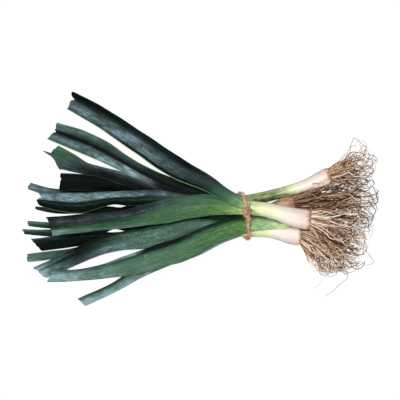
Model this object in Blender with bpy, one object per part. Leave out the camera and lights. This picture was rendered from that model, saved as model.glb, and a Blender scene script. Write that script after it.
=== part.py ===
# Bunch of four leeks lying on a flat surface, tied with jute twine at the necks.
# X runs from the cut leaf tips to the roots, Y across the fan, Z is up, the surface is z = 0.
# Sizes below are millimetres and are turned to metres where a mesh is made.
import math
import random

import bmesh
import bpy
import numpy as np

MM = 0.001
SURFACE_GAP = 0.4       # kept between a leaf and what it lies on
BLADE_THICKNESS = 1.2
LEAF_STATION = 20.0     # distance between the sections of a leaf
BASE_STATION = 8.0      # and near its base, where it bends most
BASE_REACH = 48.0
LEAF_ACROSS = 5         # points across a leaf, margin to margin
LEAF_SLOPE = 0.2        # steepest fall of a leaf from what holds it up
BASE_SLOPE = 0.6        # the same where the twine presses it down
NECK_RISE = 5.5         # height of an under leaf's base, close below its neck
SMOOTHING = 4           # length over which a leaf's height is evened out, an even number
BASE_ROUNDING = 1.6     # a leaf base is a round trough
KEEL_ROUNDING = 0.22    # further out it is folded along its keel
BASE_LENGTH = 110.0     # over which the one turns into the other
TIP_CUT = 40.0          # length over which a slanted cut skews the blade
NECK_FALL = 0.1         # fall of an under leaf's base towards the surface
FINE_ACROSS = 61        # points across a leaf or round a shaft where the pile is measured
SHAFT_SIDES = 16

# Each row of a shaft is one section: x, y, z, half width, half height.
# It runs from the basal plate over the bulb to the neck, pressed flat between the leaves.
SHAFTS = {
    1: [(172, 33, 7.8, 8.4, 8.0), (169, 32, 8.9, 10, 9.6), (158, 27, 9.2, 10.4, 10),
        (144, 21, 9.4, 8.6, 8.6), (119, 13, 9, 7.2, 7.2), (93, 6, 10, 7.2, 7.2),
        (75, 2, 11.6, 8, 8), (60, -1, 13.4, 9, 9), (44, -2, 13, 8.8, 5.6),
        (30, -2.5, 11.6, 8.6, 2.8), (20, -2.5, 10.4, 8.2, 1)],
    2: [(128, -5.5, 10, 8.6, 8.6), (125, -6, 10, 10.6, 10.6), (115, -8, 10.9, 11.9, 11.7),
        (98, -12, 10.1, 9.8, 9.8), (80, -16, 11.2, 8.8, 8.8), (60, -19.5, 13, 8.6, 8.6),
        (44, -20.8, 12.8, 8.5, 5.4), (30, -21, 11.4, 8.5, 2.8), (20, -21, 10.2, 8, 1)],
    3: [(148, -29, 26.8, 10, 10), (145.5, -28.8, 27.4, 12, 12), (136, -28, 28.6, 12.7, 12.7),
        (118, -25, 30.4, 12.2, 12.2), (94, -17.5, 32.2, 10.8, 10.8), (76, -13, 31.6, 9.8, 9.8),
        (60, -9.5, 32.2, 9.6, 9.6), (44, -9, 33.4, 9.8, 6), (30, -9, 34.4, 9.8, 2.8),
        (20, -9.5, 34.8, 9.5, 1)],
    4: [(134, -51.5, 10.8, 9.2, 9.2), (131, -51.2, 11.1, 11.8, 11.8),
        (120, -49.5, 11.7, 12.8, 12.5), (107, -46.5, 11.1, 11, 11), (95, -43.5, 11.2, 10, 10),
        (78, -41.5, 12.6, 10.2, 10.2), (60, -40.5, 15, 11, 10.6), (44, -40.6, 13.6, 10, 6),
        (30, -40.8, 12, 9.6, 2.8), (20, -41, 10.8, 9, 1)],
}

# Each row of a leaf is one station from its base to its cut tip:
# x, y, half width, fall of the far margin below the keel, fall of the near margin.
# keel places the fold across the blade and cut slants the tip. A leaf lies on those before it.
UNDER_LEAVES = [
    dict(leek=1, number=4, under=True, keel=0.1, cut=-3, rows=[
        (44, -6, 7, 0.4, 0.4), (15, -3, 8, 0.8, 0.8), (-30, 2, 8, 3, 3), (-91, 6, 8, 4, 4),
        (-156, 8, 6, 3.5, 3.5), (-202, 12.5, 4.6, 2.5, 2.5), (-223, 18, 4.4, 2, 2)]),
    dict(leek=2, number=4, under=True, keel=0.0, cut=3, rows=[
        (44, -21, 7, 0.4, 0.4), (10, -23, 7.5, 0.8, 0.8), (-20, -25, 7.5, 3, 3),
        (-80, -32, 7, 3.5, 3.5), (-150, -39.5, 5.5, 3, 3), (-194, -42, 4, 2, 2),
        (-230, -40, 3, 1.5, 1.5)]),
    dict(leek=4, number=4, under=True, keel=0.0, cut=0, rows=[
        (44, -40, 7, 0.4, 0.4), (10, -40, 8, 0.8, 0.8), (-30, -44, 9, 3, 3),
        (-65, -50, 9, 4, 4), (-117, -60, 8, 3.5, 3.5), (-169, -69, 6, 3, 3),
        (-225, -75, 4.9, 2, 2)]),
]
LOW_LEAVES = [
    dict(leek=2, number=3, keel=0.0, cut=2, rows=[
        (46, -21, 6.5, 1.8, 1.8), (14, -19.5, 7, 1.5, 1.5), (-40, -12, 8, 4, 4),
        (-80, -10, 6.5, 3.5, 3.5), (-150, -10, 4.5, 2.5, 2.5), (-194, -12, 3, 1.5, 1.5),
        (-215, -9.5, 1.8, 1, 1)]),
    dict(leek=2, number=2, keel=0.1, cut=2, rows=[
        (42, -20.5, 6.5, 1.8, 1.8), (14, -20, 7, 1.5, 1.5), (-20, -20.5, 8, 2, 3),
        (-80, -25, 8, 3, 4), (-150, -30, 6, 2.5, 3), (-196, -32, 4.5, 2, 2),
        (-224, -29, 3, 1.5, 1.5)]),
    dict(leek=2, number=1, keel=0.35, cut=6, rows=[
        (38, -21.5, 6.5, 1.8, 1.8), (14, -23.5, 6.5, 1.5, 1.5), (-13, -31, 8, 2, 4),
        (-65, -41.5, 8, 3, 5), (-104, -47.5, 8, 3, 5), (-143, -49.5, 8.3, 3, 5),
        (-177, -54, 8.5, 3, 5), (-212, -58.5, 8.5, 3, 5)]),
    dict(leek=1, number=3, keel=0.2, cut=-3, rows=[
        (47, -1, 7, 1.8, 1.8), (14, 0, 8, 1.5, 1.5), (-32, 5, 9, 3, 3), (-71, 14, 9.5, 4, 4),
        (-110, 20, 10, 4, 5), (-150, 23.5, 10.5, 3, 6), (-180, 23.5, 11, 2, 6)]),
    dict(leek=1, number=2, keel=0.3, cut=-8, rows=[
        (42, 0, 7, 1.8, 1.8), (10, 3, 8, 1.5, 1.5), (-26, 5, 8.5, 3, 4), (-65, 15.5, 8.5, 3, 5),
        (-98, 28.5, 8.5, 3, 5), (-130, 39, 9, 2, 6), (-162, 49.5, 11, 1, 6),
        (-188, 57, 12, 0, 6)]),
    dict(leek=1, number=1, keel=0.05, cut=-4, rows=[
        (37, 1, 7, 1.8, 1.8), (5, 7, 9, 2, 2), (-39, 19, 9.5, 0, 4), (-71, 34, 10, -3, 2),
        (-101, 50, 11, -4, -3), (-125, 64.5, 14, -4, -4), (-151, 76.5, 15, -4, -4),
        (-190, 89.5, 12, -4, -3)]),
    dict(leek=4, number=3, keel=0.3, cut=3, rows=[
        (50, -43, 9, 4, 4), (28, -54, 9.5, 3, 6), (-7, -71, 10, 3, 7), (-45, -82, 10, 3, 6),
        (-78, -96, 9, 3, 5), (-113, -114.5, 7, 3, 4), (-153, -131.5, 5.7, 2, 3)]),
    dict(leek=4, number=2, keel=0.2, cut=5, rows=[
        (45, -38, 7, 2, 2), (19, -34, 7.5, 1, 2), (-7, -34, 9.5, 1.5, 3), (-38, -41.5, 11.7, 4, 5),
        (-69, -49, 12, 4, 6), (-107, -54, 10.5, 4, 6), (-139, -64, 9.5, 3, 6),
        (-166, -76.5, 10.3, 2, 6), (-207, -94.5, 9.7, 1, 5)]),
    dict(leek=4, number=1, sheath=100, keel=0.25, cut=2, rows=[
        (112, -37, 1.6, 0.6, 0.2), (95, -35.5, 4.6, 2, 0.5), (80, -34, 7.2, 4, 1),
        (66, -34, 8.8, 4.5, 2), (56, -35, 10, 5, 4), (39, -38.5, 11.5, 5, 6),
        (6, -49.5, 13.6, 4, 8), (-20, -62.5, 13, 4, 8), (-52, -75.5, 12.3, 4, 7),
        (-98, -88.5, 10.4, 4, 6), (-130, -94, 8.8, 3, 5), (-162, -98, 7.5, 3, 4),
        (-192, -99, 7, 3, 4)]),
]
TOP_LEAVES = [
    dict(leek=3, number=3, keel=0.1, cut=4, rows=[
        (47, -10.5, 7, 1.8, 1.8), (15, -8, 8, 1.5, 1.5), (-13, -3, 9, 2, 3), (-52, 3.5, 9, 3, 4),
        (-91, 3, 9, 3, 4), (-130, 0.5, 9.5, 3, 5), (-156, -3.5, 13, 3, 7),
        (-182, -2, 11, 3, 6), (-208, 1, 6, 2, 3)]),
    dict(leek=3, number=2, keel=0.0, cut=2, rows=[
        (64, -12, 6, 2, 2.5), (53, -11.5, 7, 2, 3), (32, -9, 10, 3, 4), (13, -6.5, 13.5, 3, 4),
        (-15, -9, 14.7, 4, 5), (-43, -14.5, 15.5, 5, 5), (-68, -19.5, 14.3, 6, 5),
        (-100, -26, 12.2, 7, 5), (-142, -30, 12.3, 7, 6), (-195, -34.5, 12.3, 7, 6)]),
    dict(leek=3, number=1, keel=0.3, cut=-4, rows=[
        (67, -8, 5, 1.5, 1.5), (60, -6.5, 6.5, 3, 1.5), (51, -3, 7.4, 4, 2), (32, 7, 8, 5, 2),
        (10, 21.5, 8.8, 6, 4), (-25, 39, 11, 7, 5), (-80, 74, 12.5, 8, 6),
        (-132, 109, 12.7, 8, 6), (-167, 128.5, 10.8, 6, 5)]),
]

LOW_LEEKS = (1, 2, 4)    # these lie on the surface, and leek 3 lies on them
TOP_LEEKS = (3,)

ROOT_SIDES = 3
ROOT_RADIUS = 0.85
ROOT_TAPER = 0.6        # radius of a root's end against its start
ROOT_BENDS = 5
ROOTS_PER_TUFT = 32
ROOT_START = 2.0        # from the plate's centre along the leek
ROOT_SPREAD = 0.72      # share of the plate's area that the roots grow from
ROOT_LEAD = 1.35        # how far a root keeps to the leek's direction before it turns
ROOT_SCATTER = 7.0      # degrees to each side of its place in the fan
ROOT_SHORTEST = 0.62    # against the longest at that place
ROOT_SWING = (1.0, 3.0)
ROOT_WAVES = (9.0, 7.0)  # waves along a root, in radians, sideways and upwards
ROOT_CLEARANCE = 1.2    # from the surface and from the lines that part the tufts
CORE_SIDES = 10
CORE_SHARE = 0.5        # length of a tuft's core against its longest roots
CORE_NECK = [(0.5, 1.0), (3.0, 1.0), (9.0, 0.72)]    # distance along the leek, share of radius
CORE_TIP = [(0.35, 0.5, 0.3), (0.7, 0.34, 0.7), (1.0, 0.12, 1.0)]   # share of length, radius, fall
CORE_END_HEIGHT = 5.0

# Each tuft: place and radius of the basal plate, the leek's own direction there, the fan of
# directions and lengths from its far side to its near side, and the lines in plan that it
# keeps to one side of, as (x, y) points with the other tufts and bulbs beyond them.
TUFTS = {
    1: dict(plate=(172.5, 33.2, 8.4), radius=8.0, heading=22, fan=[(66, 34), (48, 56), (28, 62),
            (12, 61), (2, 58)], top=24, below_line=None,
            above_line=[(172, 24), (186, 26), (234, 34)]),
    2: dict(plate=(128.5, -5.4, 10), radius=8.2, heading=10, fan=[(28, 56), (18, 92), (8, 106),
            (0, 106), (-6, 104)], top=26,
            below_line=[(127, 2.5), (145, 8), (158, 13), (170, 19), (186, 23), (234, 31)],
            above_line=[(127, -13.5), (150, -12), (190, -14), (234, -17)]),
    3: dict(plate=(148.9, -29.1, 26.8), radius=9.4, heading=-7, fan=[(8, 82), (-4, 84), (-14, 80),
            (-24, 76), (-32, 72)], top=38,
            below_line=[(147, -16), (190, -17), (234, -20)],
            above_line=[(147, -41), (215, -58), (234, -63)]),
    4: dict(plate=(134.5, -51.5, 10.8), radius=8.8, heading=-14, fan=[(-8, 84), (-20, 88),
            (-32, 86), (-48, 72), (-68, 48)], top=24,
            below_line=[(133, -42.5), (150, -45), (215, -61), (234, -66)], above_line=None),
}
STRAY_ROOTS = {4: [(148, -117), (162, -127)]}    # where single long roots end

TWINE_RADIUS = 1.9
TWINE_SIDES = 6
TWINE_X = 53.0          # where the loop crosses the far side of the necks
TWINE_LEAN = 0.15       # it leans to the roots as it rises
TWINE_SKEW = 0.2        # and towards the near side
TWINE_TUCK = 0.35       # and tucks back below this height
TWINE_TUCK_HEIGHT = 16.0
TWINE_POINTS = 44
TWINE_REACH = 1.5       # what lies this far beside the twine also holds it out
TWINE_ROUND = 24        # points round the twine that its clearance is measured with
KNOT_Y = -18.0          # place of the knot on the upper side
KNOT_LIFT = 1.4
KNOT_WRAPS = [(-2.3, 0.5), (2.3, -0.4)]    # place along the loop and tilt of each wrap
KNOT_WRAP_RADIUS = 2.7
KNOT_WRAP_POINTS = 10
KNOT_THIN = 0.88        # the pulled knot is thinner than the loop
KNOT_END_LENGTH = 11.0
KNOT_END_RISE = 2.6     # where the ends leave the knot
KNOT_END_BOW = 1.6
KNOT_END_POINTS = 6
KNOT_ENDS = [(0.9, 0.5, 3.0), (-0.6, -0.9, -1.8)]    # way across, way along, curl along

COLOURS = {
    "shaft": (0.80, 0.76, 0.62),
    "leaf": (0.07, 0.17, 0.08),
    "roots": (0.42, 0.31, 0.22),
    "twine": (0.48, 0.28, 0.15),
}
ROUGHNESS = {"shaft": 0.45, "leaf": 0.5, "roots": 0.9, "twine": 0.95}


# Scene and materials

def clear_scene():
    for old in list(bpy.data.objects):
        bpy.data.objects.remove(old, do_unlink=True)


def make_material(kind):
    material = bpy.data.materials.new(kind)
    material.use_nodes = True
    shader = material.node_tree.nodes["Principled BSDF"]
    shader.inputs["Base Color"].default_value = (*COLOURS[kind], 1)
    shader.inputs["Roughness"].default_value = ROUGHNESS[kind]
    shader.inputs["Metallic"].default_value = 0.0
    return material


def add_object(name, points, faces, material, collection, sharp=math.radians(40)):
    mesh = bpy.data.meshes.new(name)
    mesh.from_pydata([tuple(p * MM) for p in np.asarray(points, float)], [], faces)
    mesh.validate()
    mesh.materials.append(material)
    mesh.shade_smooth()
    mesh.set_sharp_from_angle(angle=sharp)
    item = bpy.data.objects.new(name, mesh)
    collection.objects.link(item)
    return item


# Curves

def through_rows(rows, places):
    """A smooth curve through the rows, read at distances along their plan."""
    rows = np.array(rows, float)
    steps = np.linalg.norm(np.diff(rows[:, :2], axis=0), axis=1)
    at = np.concatenate(([0.0], np.cumsum(steps)))
    slope = np.gradient(rows, at, axis=0)
    places = np.asarray(places) * at[-1]
    low = np.clip(np.searchsorted(at, places, side="right") - 1, 0, len(at) - 2)
    span = at[low + 1] - at[low]
    t = ((places - at[low]) / span)[:, None]
    span = span[:, None]
    return ((2 * t**3 - 3 * t**2 + 1) * rows[low] + (t**3 - 2 * t**2 + t) * span * slope[low]
            + (3 * t**2 - 2 * t**3) * rows[low + 1] + (t**3 - t**2) * span * slope[low + 1])


def plan_length(rows):
    rows = np.array(rows, float)
    return float(np.linalg.norm(np.diff(rows[:, :2], axis=0), axis=1).sum())


# Heights of what already lies there, so that each leaf rests on those below it

class Pile:
    """The height of the pile over a grid of square cells."""
    reach = 260
    cell = 0.5

    def __init__(self):
        count = 2 * int(self.reach / self.cell) + 1
        self.top = np.zeros((count, count))

    def cells(self, points):
        return (np.rint((points[:, 0] + self.reach) / self.cell).astype(int),
                np.rint((points[:, 1] + self.reach) / self.cell).astype(int))

    def add(self, points):
        points = points.reshape(-1, 3)
        across, along = self.cells(points)
        for dx in (-1, 0, 1):
            for dy in (-1, 0, 1):
                np.maximum.at(self.top, (across + dx, along + dy), points[:, 2])

    def under(self, points):
        across, along = self.cells(points.reshape(-1, 3))
        return self.top[across, along].reshape(points.shape[:-1])


# Leaves

def leaf_sheet(leaf, places, across, lift):
    """The under side of a leaf, one row of points for each place along it."""
    path = through_rows(leaf["rows"], places)
    ahead = np.gradient(path[:, :2], np.asarray(places), axis=0)
    ahead /= np.linalg.norm(ahead, axis=1)[:, None]
    # The leaf grows towards -X, so its far side (+Y) is on the right of its heading.
    side = np.stack((ahead[:, 1], -ahead[:, 0]), axis=1)
    length = plan_length(leaf["rows"])
    distance = np.asarray(places) * length
    fold = np.clip(distance / BASE_LENGTH, 0, 1)
    rounding = BASE_ROUNDING + (KEEL_ROUNDING - BASE_ROUNDING) * fold
    keel = leaf["keel"] * fold
    v = across[None, :]
    reach = np.where(v > keel[:, None], 1 - keel[:, None], 1 + keel[:, None])
    u = np.abs(v - keel[:, None]) / reach
    r = rounding[:, None]
    bend = (np.sqrt(u**2 + r**2) - r) / (np.sqrt(1 + r**2) - r)
    fall = np.where(v > keel[:, None], path[:, 3:4], path[:, 4:5])
    slant = np.clip((distance - length + TIP_CUT) / TIP_CUT, 0, 1) * leaf["cut"]
    plan = (path[:, None, :2] + side[:, None, :] * (v * path[:, 2:3])[..., None]
            + ahead[:, None, :] * (v * slant[:, None])[..., None])
    height = lift(distance)[:, None] - fall * bend
    return np.concatenate((plan, height[..., None]), axis=2)


def upper_side(sheet):
    """The sheet moved out along its normals by the blade's thickness."""
    along = np.gradient(sheet, axis=0)
    across = np.gradient(sheet, axis=1)
    normal = np.cross(along, across)
    normal *= np.sign(normal[..., 2:3])
    normal /= np.linalg.norm(normal, axis=2)[..., None]
    return sheet + normal * BLADE_THICKNESS


def stations_of(leaf):
    """Places along a leaf, closer together near its base."""
    length = plan_length(leaf["rows"])
    sheath = leaf.get("sheath", BASE_REACH)
    near = list(np.arange(0, sheath, BASE_STATION))
    far = np.linspace(sheath, length, round((length - sheath) / LEAF_STATION) + 1)
    return np.array(near + list(far)) / length


def lie_on(leaf, pile):
    """How high a leaf's keel runs, so that it clears the pile, falls gently and stays smooth."""
    length = plan_length(leaf["rows"])
    count = int(length) + 1
    places = np.linspace(0, 1, count)
    steps = places * length
    flat = leaf_sheet(leaf, places, np.linspace(-1, 1, FINE_ACROSS), np.zeros_like)
    below = pile.under(flat)
    need = (below + SURFACE_GAP * (below > 0) - flat[..., 2]).max(axis=1)
    if leaf.get("under"):
        need = np.maximum(need, NECK_RISE - NECK_FALL * steps)
    base = steps < leaf.get("sheath", BASE_REACH)
    flat_reach = np.where(base, BASE_STATION, LEAF_STATION) + SMOOTHING
    slope = np.where(base, BASE_SLOPE, LEAF_SLOPE)
    gap = np.abs(steps[:, None] - steps[None, :])
    ease = slope[None, :] * np.maximum(0, gap - flat_reach[None, :])
    rise = (need[None, :] - ease).max(axis=1)
    window = np.ones(SMOOTHING + 1) / (SMOOTHING + 1)
    for _ in range(2):
        rise = np.convolve(np.pad(rise, SMOOTHING // 2, mode="edge"), window, mode="valid")
    return lambda d: np.interp(d, steps, rise)


def leaf_faces(stations, points):
    """Both sides are split by the same diagonals, so that a waved blade can't cross itself."""
    faces = []
    other = stations * points
    for i in range(stations - 1):
        for j in range(points - 1):
            a = i * points + j
            b, c, d = a + 1, a + points + 1, a + points
            faces += [(a, b, c), (a, c, d)]
            faces += [(other + a, other + c, other + b), (other + a, other + d, other + c)]
    rim = [i * points for i in range(stations)]
    rim += [(stations - 1) * points + j for j in range(1, points)]
    rim += [i * points + points - 1 for i in range(stations - 2, -1, -1)]
    rim += [j for j in range(points - 2, 0, -1)]
    for k, a in enumerate(rim):
        b = rim[(k + 1) % len(rim)]
        faces += [(a, b, other + b), (a, other + b, other + a)]
    return faces


def add_leaf(leaf, pile, material, collection):
    lift = lie_on(leaf, pile)
    length = plan_length(leaf["rows"])
    places = stations_of(leaf)
    stations = len(places)
    across = np.linspace(-1, 1, LEAF_ACROSS)
    across = across + leaf["keel"] * (1 - np.abs(across))
    under = leaf_sheet(leaf, places, across, lift)
    upper = upper_side(under)
    points = np.concatenate((upper.reshape(-1, 3), under.reshape(-1, 3)))
    name = f"leek_{leaf['leek']}_leaf_{leaf['number']}"
    add_object(name, points, leaf_faces(stations, LEAF_ACROSS), material, collection)
    fine = np.linspace(0, 1, int(length / Pile.cell))
    fine = leaf_sheet(leaf, fine, np.linspace(-1, 1, FINE_ACROSS), lift)
    top = upper_side(fine)
    pile.add(top)
    return np.concatenate((top.reshape(-1, 3), fine.reshape(-1, 3)))


# Shafts

def shaft_rings(rows, places, sides):
    """Sections across a shaft, pressed flat where they reach the surface."""
    path = through_rows(rows, places)
    ahead = np.gradient(path[:, :2], axis=0)
    ahead /= np.linalg.norm(ahead, axis=1)[:, None]
    side = np.stack((ahead[:, 1], -ahead[:, 0]), axis=1)
    turn = (np.arange(sides) + 0.5) * 2 * math.pi / sides
    plan = path[:, None, :2] + side[:, None, :] * (path[:, 3:4] * np.cos(turn))[..., None]
    height = np.maximum(0, path[:, 2:3] + path[:, 4:5] * np.sin(turn))
    return np.concatenate((plan, height[..., None]), axis=2)


def tube_faces(rings, sides):
    faces = [tuple(range(sides))]
    for i in range(rings - 1):
        for j in range(sides):
            a = i * sides + j
            b = i * sides + (j + 1) % sides
            faces.append((a, a + sides, b + sides, b))
    faces.append(tuple((rings - 1) * sides + j for j in range(sides - 1, -1, -1)))
    return faces


def add_shaft(number, pile, material, collection):
    rows = SHAFTS[number]
    stations = len(rows) + 2
    rings = shaft_rings(rows, np.linspace(0, 1, stations), SHAFT_SIDES)
    add_object(f"leek_{number}_shaft", rings.reshape(-1, 3),
               tube_faces(stations, SHAFT_SIDES), material, collection)
    fine = np.linspace(0, 1, int(plan_length(rows) / Pile.cell))
    fine = shaft_rings(rows, fine, 2 * FINE_ACROSS)
    pile.add(fine)
    return fine.reshape(-1, 3)


# Roots

def line_at(line, x):
    return np.interp(x, [p[0] for p in line], [p[1] for p in line])


def tube_along(path, radii, sides, across=(0.0, 0.0, 1.0), closed=False):
    """Rings of points round a path, each square to it."""
    path = np.asarray(path, float)
    if closed:
        ahead = np.roll(path, -1, axis=0) - np.roll(path, 1, axis=0)
    else:
        ahead = np.gradient(path, axis=0)
    ahead /= np.linalg.norm(ahead, axis=1)[:, None]
    level = np.cross(ahead, across)
    level /= np.linalg.norm(level, axis=1)[:, None]
    upright = np.cross(level, ahead)
    turn = np.linspace(0, 2 * math.pi, sides, endpoint=False)
    radii = np.broadcast_to(radii, len(path))[:, None, None]
    ring = (level[:, None, :] * np.cos(turn)[None, :, None]
            + upright[:, None, :] * np.sin(turn)[None, :, None])
    return path[:, None, :] + radii * ring


def fan_place(tuft, draw, share):
    """Direction and length of a root at its share of the way across the fan."""
    fan = np.array(tuft["fan"], float)
    place = share * (len(fan) - 1)
    angle = np.interp(place, range(len(fan)), fan[:, 0]) + draw.uniform(-ROOT_SCATTER, ROOT_SCATTER)
    length = np.interp(place, range(len(fan)), fan[:, 1]) * draw.uniform(ROOT_SHORTEST, 1.0)
    return math.radians(angle), length


def unit(angle):
    return np.array((math.cos(angle), math.sin(angle), 0.0))


def root_path(tuft, draw, angle, length):
    """One root: out of the plate along the leek, then over to its own direction."""
    heading = math.radians(tuft["heading"])
    turn = draw.uniform(0, 2 * math.pi)
    off = tuft["radius"] * math.sqrt(draw.uniform(0.0, ROOT_SPREAD))
    start = (np.array(tuft["plate"]) + ROOT_START * unit(heading)
             + off * math.cos(turn) * unit(heading + math.pi / 2) + (0, 0, off * math.sin(turn)))
    end_height = draw.uniform(1.0, tuft["top"])
    wave = draw.uniform(0, 2 * math.pi)
    swing = draw.uniform(*ROOT_SWING)
    t = np.linspace(0, 1, ROOT_BENDS + 1)[:, None]
    points = start + length * (t * t * unit(angle) + ROOT_LEAD * t * (1 - t) * unit(heading))
    points += swing * t * np.sin(wave + ROOT_WAVES[0] * t) * unit(angle + math.pi / 2)
    t = t[:, 0]
    points[:, 2] = start[2] + (end_height - start[2]) * t
    points[:, 2] += swing * t * np.cos(wave + ROOT_WAVES[1] * t)
    if tuft["above_line"]:
        line = line_at(tuft["above_line"], points[:, 0])
        points[:, 1] = np.maximum(points[:, 1], line + ROOT_CLEARANCE)
    if tuft["below_line"]:
        line = line_at(tuft["below_line"], points[:, 0])
        points[:, 1] = np.minimum(points[:, 1], line - ROOT_CLEARANCE)
    points[:, 2] = np.maximum(points[:, 2], ROOT_CLEARANCE)
    return points


def root_core(tuft):
    """The dense middle of a tuft: out of the plate, then down to the surface along the fan."""
    fan = np.array(tuft["fan"], float)
    ahead = unit(math.radians(tuft["heading"]))
    toward = unit(math.radians(fan[len(fan) // 2, 0]))
    plate = np.array(tuft["plate"])
    turned = plate + ahead * CORE_NECK[-1][0]
    run = fan[:, 1].max() * CORE_SHARE - CORE_NECK[-1][0]
    path = [plate + ahead * distance for distance, _ in CORE_NECK]
    for share, _, fall in CORE_TIP:
        path.append(turned + toward * run * share - (0, 0, (turned[2] - CORE_END_HEIGHT) * fall))
    radii = [share for _, share in CORE_NECK] + [share for _, share, _ in CORE_TIP]
    return np.array(path), tuft["radius"] * np.array(radii)


def add_roots(number, material, collection):
    tuft = TUFTS[number]
    draw = random.Random(100 + number)
    core, radii = root_core(tuft)
    rings = tube_along(core, radii, CORE_SIDES)
    body = add_object(f"leek_{number}_roots", rings.reshape(-1, 3),
                      tube_faces(len(core), CORE_SIDES), material, collection)
    fibres = bpy.data.collections.new("fibres")
    bpy.context.scene.collection.children.link(fibres)
    places = [fan_place(tuft, draw, (i + 0.5) / ROOTS_PER_TUFT) for i in range(ROOTS_PER_TUFT)]
    for end_x, end_y in STRAY_ROOTS.get(number, []):
        across, along = end_y - tuft["plate"][1], end_x - tuft["plate"][0]
        places.append((math.atan2(across, along), math.hypot(across, along)))
    for i, (angle, length) in enumerate(places):
        path = root_path(tuft, draw, angle, length)
        fibre = tube_along(path, ROOT_RADIUS * np.linspace(1.0, ROOT_TAPER, len(path)), ROOT_SIDES)
        add_object(f"fibre_{i}", fibre.reshape(-1, 3), tube_faces(len(path), ROOT_SIDES),
                   material, fibres)
    join(body, fibres)


def keep_main_skin(mesh):
    """Fills hollows that fusing sealed and drops loose scraps: only the largest skin stays."""
    shape = bmesh.new()
    shape.from_mesh(mesh)
    unseen = set(shape.faces)
    skins = []
    while unseen:
        skin = {unseen.pop()}
        edge_of = list(skin)
        while edge_of:
            face = edge_of.pop()
            for edge in face.edges:
                for other in edge.link_faces:
                    if other in unseen:
                        unseen.remove(other)
                        skin.add(other)
                        edge_of.append(other)
        skins.append(skin)
    skins.sort(key=len)
    for skin in skins[:-1]:
        bmesh.ops.delete(shape, geom=list(skin), context="FACES")
    shape.to_mesh(mesh)
    shape.free()


def join(body, others):
    """Fuses a collection's objects into the body and removes them."""
    union = body.modifiers.new("union", "BOOLEAN")
    union.operation = "UNION"
    union.operand_type = "COLLECTION"
    union.collection = others
    union.solver = "MANIFOLD"
    bpy.context.view_layer.update()
    whole = body.evaluated_get(bpy.context.evaluated_depsgraph_get())
    mesh = bpy.data.meshes.new_from_object(whole)
    body.modifiers.remove(union)
    keep_main_skin(mesh)
    body.data = mesh
    for item in list(others.objects):
        bpy.data.objects.remove(item, do_unlink=True)
    bpy.data.collections.remove(others)


# Twine

def hull(points):
    """The convex outline of flat points, anticlockwise."""
    points = sorted(set(map(tuple, np.round(points, 2))))
    sides = []
    for run in (points, points[::-1]):
        side = []
        for p in run:
            while len(side) > 1 and ((side[-1][0] - side[-2][0]) * (p[1] - side[-2][1])
                                     <= (side[-1][1] - side[-2][1]) * (p[0] - side[-2][0])):
                side.pop()
            side.append(p)
        sides += side[:-1]
    return np.array(sides)


def twine_x(y, z):
    """Where the loop lies along the bunch: it leans and tucks back under the necks."""
    tuck = TWINE_TUCK * np.minimum(0, z - TWINE_TUCK_HEIGHT)
    return TWINE_X + TWINE_LEAN * z - TWINE_SKEW * (y + 10) + tuck


def twine_path(tied):
    """The shortest loop round everything that the twine holds, a radius clear of it."""
    points = np.concatenate(tied)
    off = points[:, 0] - twine_x(points[:, 1], points[:, 2])
    held = points[np.abs(off) < TWINE_RADIUS + TWINE_REACH][:, 1:]
    outline = hull(held)
    turn = np.linspace(0, 2 * math.pi, TWINE_ROUND, endpoint=False)
    clear = TWINE_RADIUS + SURFACE_GAP
    ring = clear * np.stack((np.cos(turn), np.sin(turn)), axis=1)
    outline = hull((outline[:, None, :] + ring[None, :, :]).reshape(-1, 2))
    outline = np.concatenate((outline, outline[:1]))
    steps = np.linalg.norm(np.diff(outline, axis=0), axis=1)
    at = np.concatenate(([0.0], np.cumsum(steps)))
    places = np.linspace(0, at[-1], TWINE_POINTS, endpoint=False)
    y = np.interp(places, at, outline[:, 0])
    z = np.interp(places, at, outline[:, 1])
    return np.stack((twine_x(y, z), y, z), axis=1)


def closed_tube_faces(rings, sides):
    faces = []
    for i in range(rings):
        for j in range(sides):
            k = (j + 1) % sides
            a = i * sides
            b = (i + 1) % rings * sides
            faces.append((a + j, b + j, b + k, a + k))
    return faces


def knot_frame(path):
    """Place of the knot on the upper side, with its directions along, across and out."""
    off = np.where(path[:, 2] > path[:, 2].mean(), np.abs(path[:, 1] - KNOT_Y), np.inf)
    at = int(np.argmin(off))
    ahead = path[(at + 1) % len(path)] - path[at]
    ahead /= np.linalg.norm(ahead)
    out = np.cross(ahead, (1.0, 0.0, 0.0))
    out *= np.sign(out[2])
    return path[at], ahead, np.cross(out, ahead), out


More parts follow.
